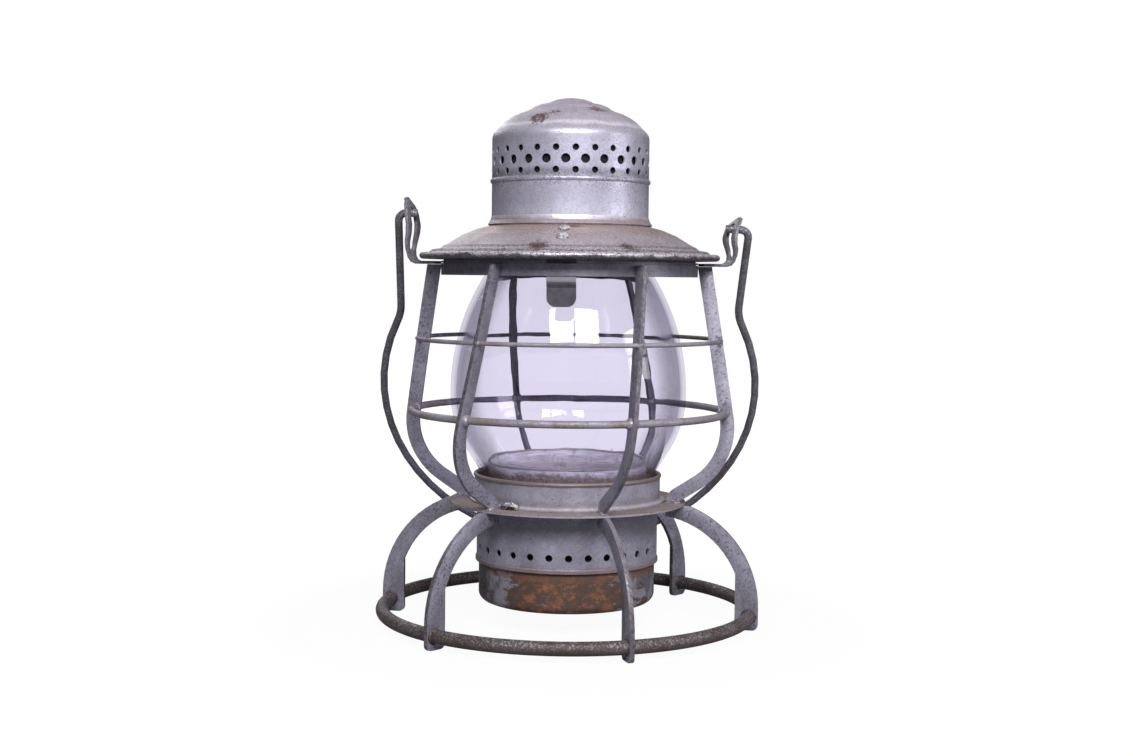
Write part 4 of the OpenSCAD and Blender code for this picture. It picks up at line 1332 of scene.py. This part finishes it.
@dataclass
class Globe:
    """The tall clear globe, with a straight foot, a cone, a belly and a narrow neck.

    The sizes repeat the CAD profile in millimetres. The lips say how far the rounded edges reach
    inwards and along the axis, and the fillet's points are measured from the corner between the
    foot and the cone.
    """

    foot_z: float = DECK_Z + 0.1
    foot_r: float = 41.4
    waist_z: float = DECK_Z + 50.6
    belly_r: float = 55.8
    upper_bend: float = 105.0
    lower_bend: float = 50.0
    cone_angle: float = 33.0
    neck_r: float = 34.6
    top_z: float = RIB_TOP_Z + 14.8
    wall: float = 2.8
    foot_lip: tuple[float, float] = (0.6, 0.8)
    neck_lip: tuple[float, float] = (0.7, 0.9)
    inner_foot_lip: float = 0.5
    inner_neck_lip: float = 0.6
    fillet: tuple[tuple[float, float], ...] = ((0.0, -1.2), (0.25, 0.0), (0.9, 1.3))
    lower_steps: int = 15
    upper_steps: int = 22
    turn_steps: int = 144

    def outer(self) -> list[tuple[float, float]]:
        """Draws the outer profile from the foot to the neck.

        Returns:
            Radius and height of each point, in millimetres.
        """
        low_r = self.belly_r - self.lower_bend
        high_r = self.belly_r - self.upper_bend
        cone = math.radians(self.cone_angle)
        cone_r = low_r + self.lower_bend * math.cos(cone)
        cone_z = self.waist_z - self.lower_bend * math.sin(cone)
        foot_top = cone_z - (cone_r - self.foot_r) / math.tan(cone)
        neck = math.acos((self.neck_r - high_r) / self.upper_bend)
        points = [(self.foot_r - self.foot_lip[0], self.foot_z)]
        points.append((self.foot_r, self.foot_z + self.foot_lip[1]))
        points += [(self.foot_r + out, foot_top + up) for out, up in self.fillet]
        for i in range(self.lower_steps):
            a = -cone * (1 - i / self.lower_steps)
            radius = low_r + self.lower_bend * math.cos(a)
            points.append((radius, self.waist_z + self.lower_bend * math.sin(a)))
        for i in range(self.upper_steps + 1):
            a = neck * i / self.upper_steps
            radius = high_r + self.upper_bend * math.cos(a)
            points.append((radius, self.waist_z + self.upper_bend * math.sin(a)))
        points.append((self.neck_r, self.top_z - self.neck_lip[1]))
        points.append((self.neck_r - self.neck_lip[0], self.top_z))
        return points

    def inner(self, outer: Sequence[tuple[float, float]]) -> list[tuple[float, float]]:
        """Draws the inner profile one wall inside the outer one.

        Args:
            outer: The outer profile, from the foot to the neck.

        Returns:
            Radius and height of each point, in millimetres.
        """
        inner = []
        for i, (r, z) in enumerate(outer):
            before, after = outer[max(i - 1, 0)], outer[min(i + 1, len(outer) - 1)]
            run = Vector((after[0] - before[0], after[1] - before[1])).normalized()
            height = min(max(z + run.x * self.wall, self.foot_z), self.top_z)
            inner.append((r - run.y * self.wall, height))
        inner[0] = (self.foot_r - self.wall + self.inner_foot_lip, self.foot_z)
        inner[-1] = (self.neck_r - self.wall + self.inner_neck_lip, self.top_z)
        return inner

    def build(self, shop: Workshop, looks: Finishes) -> None:
        """Turns the glass and sets it in place of the CAD globe.

        Args:
            shop: The workshop.
            looks: The finishes.
        """
        outer = self.outer()
        obj = shop.lathe("globe_glass", outer + self.inner(outer)[::-1], self.turn_steps)
        shop.smooth(obj, 60)
        shop.finish(obj, looks.glass, Body.CAGE, ["globe"])


@dataclass
class Lid:
    """The hood, the chimney with its smoke holes and the spring latch, in millimetres.

    The sooty sleeve stands behind the smoke holes and keeps daylight out of them. It flares at its
    foot almost to the chimney's wall, and its top has a small lip.
    """

    sleeve_r: float = 35.0
    sleeve_seat_r: float = 35.9
    sleeve_low: float = BEAD_Z - 1.8
    sleeve_top: float = SHOULDER_Z - 0.2
    flare_h: float = 1.8
    flare_bow: float = 0.4
    lip: float = 0.2
    lip_h: float = 0.6
    sheet: float = 0.5
    dent_mm: float = 1.6
    dent_depth: float = 0.5

    def build(self, shop: Workshop, looks: Finishes) -> None:
        """Dresses the lid's nodes, dents the rivets and adds the sleeve.

        Args:
            shop: The workshop.
            looks: The finishes.
        """
        shop.dress(
            {
                "hood": looks.hood,
                "lid_skirt": looks.band,
                "chimney": looks.chimney,
                "lid_hinge_leaf": looks.shell,
                "latch_strap": looks.band,
                "latch_tongue": looks.spring,
            }
        )
        self.build_rivets(shop, looks)
        self.build_sleeve(shop, looks)

    def build_rivets(self, shop: Workshop, looks: Finishes) -> None:
        """Dents the two rivet heads, which were struck by hand.

        Args:
            shop: The workshop.
            looks: The finishes.
        """
        heads = shop.copy_of("latch_rivets", "rivet_heads")
        dents = bpy.data.textures.new("Hammer dents", "CLOUDS")
        dents.noise_scale = self.dent_mm * MM
        shop.apply(
            heads, "DISPLACE", texture=dents, texture_coords="GLOBAL", strength=self.dent_depth * MM
        )
        shop.smooth(heads, 40)
        shop.finish(heads, looks.rivets, Body.LID, ["latch_rivets"])

    def build_sleeve(self, shop: Workshop, looks: Finishes) -> None:
        """Turns the sooty wind sleeve.

        Args:
            shop: The workshop.
            looks: The finishes.
        """
        outer = [
            (self.sleeve_seat_r, self.sleeve_low),
            (self.sleeve_r + self.flare_bow, self.sleeve_low + self.flare_h / 2),
            (self.sleeve_r, self.sleeve_low + self.flare_h),
            (self.sleeve_r, self.sleeve_top - self.lip_h),
            (self.sleeve_r + self.lip, self.sleeve_top),
        ]
        inner = [(r - self.sheet, z) for r, z in outer]
        obj = shop.lathe("wind_sleeve", outer + inner[::-1], 96)
        shop.smooth(obj, 50)
        shop.finish(obj, looks.soot, Body.LID)


@dataclass
class Handle:
    """The bail and the ears that carry it."""

    ear_edge: float = 0.35

    def build(self, shop: Workshop, looks: Finishes) -> None:
        """Rounds the ears' edges and dresses the bail.

        Args:
            shop: The workshop.
            looks: The finishes.
        """
        for side in ("left", "right"):
            ear = shop.softened(f"ear_{side}", f"ear_strap_{side}", self.ear_edge)
            shop.finish(ear, looks.ears, Body.CAGE, [f"ear_{side}"])
        shop.dress({"bail": looks.bail})


@dataclass(frozen=True)
class Lamp:
    """One oblong soft lamp that faces its aim, in metres and watts."""

    name: str
    place: Point
    aim: Point
    size: tuple[float, float]
    watts: float

    def hang(self) -> None:
        """Hangs the lamp in its place and turns it to its aim."""
        data = bpy.data.lights.new(self.name, "AREA")
        data.shape = "RECTANGLE"
        data.size, data.size_y = self.size
        data.energy = self.watts
        obj = bpy.data.objects.new(self.name, data)
        bpy.context.scene.collection.objects.link(obj)
        obj.location = self.place
        obj.rotation_euler = (Vector(self.aim) - Vector(self.place)).to_track_quat("-Z", "Y").to_euler()


@dataclass
class Studio:
    """A white sweep, soft lamps and the camera at the photograph's viewing angle.

    Places are in metres. The window in front has two panes, each pane_offset from its middle.
    """

    camera_place: Point = (-0.0009, -0.757, 0.1643)
    tilt_down: float = 3.65
    roll: float = 0.6
    lens_px: float = 1600.0
    image_px: float = 1133.0
    sensor: float = 36.0
    near_and_far: tuple[float, float] = (0.01, 20.0)
    window_place: Point = (0.11, -0.98, 0.84)
    window_aim: Point = (0.0, 0.0, 0.13)
    pane_offset: float = 0.27
    pane_size: tuple[float, float] = (0.5, 0.42)
    pane_watts: float = 10.2
    right_lamp: Lamp = Lamp("Right lamp", (1.15, -0.35, 0.45), (0.0, 0.0, 0.12), (0.5, 0.5), 3.5)
    back_lamp: Lamp = Lamp("Back lamp", (-0.5, 1.05, 0.75), (0.0, 0.0, 0.14), (0.8, 0.5), 3.5)
    ambient: float = 0.055
    floor_size: float = 3.0
    paper: str = "#9c9ca0"
    paper_white: float = 1.08
    shadow_near_mm: float = 130.0
    shadow_far_mm: float = 300.0
    shadow_white: float = 0.88

    def build(self) -> None:
        """Sets up the backdrop, the light and the camera."""
        self.sky()
        self.floor()
        for lamp in self.panes() + [self.right_lamp, self.back_lamp]:
            lamp.hang()
        self.camera()
        view = bpy.context.scene.view_settings
        view.view_transform = "Standard"

    def panes(self) -> list[Lamp]:
        """Splits the window into its two panes.

        Returns:
            The left and the right pane.
        """
        x, y, z = self.window_place
        aim_x, aim_y, aim_z = self.window_aim
        panes = []
        for name, side in (("Left window pane", -self.pane_offset), ("Right window pane", self.pane_offset)):
            aim = (aim_x + side, aim_y, aim_z)
            panes.append(Lamp(name, (x + side, y, z), aim, self.pane_size, self.pane_watts))
        return panes

    @staticmethod
    def seen(tree: bpy.types.NodeTree) -> bpy.types.NodeSocket:
        """Tells what the camera sees at once or straight through glass from light that bounces.

        Args:
            tree: The node tree that asks.

        Returns:
            1 for the camera's own rays and 0 for bounced light.
        """
        path = add_node(tree, "ShaderNodeLightPath")
        bounces = {0: path.outputs["Diffuse Depth"], 1: path.outputs["Glossy Depth"]}
        bounced = add_node(tree, "ShaderNodeMath", bounces, operation="ADD", use_clamp=True).outputs[0]
        direct = {0: path.outputs["Is Transmission Ray"], 1: bounced}
        through = add_node(tree, "ShaderNodeMath", direct, operation="SUBTRACT", use_clamp=True).outputs[0]
        both = {0: path.outputs["Is Camera Ray"], 1: through}
        return add_node(tree, "ShaderNodeMath", both, operation="MAXIMUM").outputs[0]

    def sky(self) -> None:
        """The world: white to the eye and through glass, and a dim even light on the rest."""
        world = bpy.data.worlds.new("Studio sky")
        bpy.context.scene.world = world
        world.use_nodes = True
        tree = world.node_tree
        tree.nodes.clear()
        feeds = {"Value": self.seen(tree), "To Min": self.ambient, "To Max": 1.0}
        strength = add_node(tree, "ShaderNodeMapRange", feeds).outputs[0]
        feeds = {"Color": linear("#ffffff"), "Strength": strength}
        sky = add_node(tree, "ShaderNodeBackground", feeds).outputs[0]
        add_node(tree, "ShaderNodeOutputWorld", {"Surface": sky})

    def floor(self) -> None:
        """A pale floor that keeps the lantern's shadow and is white to the eye elsewhere."""
        bpy.ops.object.select_all(action="DESELECT")
        bpy.ops.mesh.primitive_circle_add(vertices=96, radius=self.floor_size, fill_type="NGON")
        floor = bpy.context.object
        floor.name = "studio_floor"
        look = Palette("White paper sweep")
        glow = {"Color": linear("#ffffff"), "Strength": self.paper_white}
        white = add_node(look.tree, "ShaderNodeEmission", glow).outputs[0]
        spread = look.radius(self.shadow_near_mm, self.shadow_far_mm, self.shadow_white, 1.0)
        share = look.add(Kind.TIMES, self.seen(look.tree), spread)
        mixed = look.add(Kind.BLEND, share, look.add(Kind.MATT, linear(self.paper)), white)
        floor.data.materials.append(look.show(mixed))

    def camera(self) -> None:
        """Places the camera, which looks at the middle of the cage and a little down."""
        data = bpy.data.cameras.new("Photo camera")
        data.sensor_fit = "HORIZONTAL"
        data.sensor_width = self.sensor
        data.lens = self.lens_px / self.image_px * self.sensor
        data.clip_start, data.clip_end = self.near_and_far
        obj = bpy.data.objects.new("Photo camera", data)
        bpy.context.scene.collection.objects.link(obj)
        tilt = Matrix.Rotation(math.radians(90.0 - self.tilt_down), 4, "X")
        roll = Matrix.Rotation(math.radians(self.roll), 4, "Z")
        obj.matrix_world = Matrix.Translation(self.camera_place) @ tilt @ roll
        bpy.context.scene.camera = obj


def main() -> None:
    """Loads the frame, builds every sub-assembly in order and sets up the studio."""
    logging.basicConfig(level=logging.INFO, format="%(name)s: %(message)s")
    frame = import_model()
    shop = Workshop(frame["nodes"])
    looks = Finishes()
    for part in (Cage(), Globe(), Lid(), Handle()):
        part.build(shop, looks)
    Studio().build()
    LOG.info("the lantern is built")


if __name__ == "__main__":
    main()
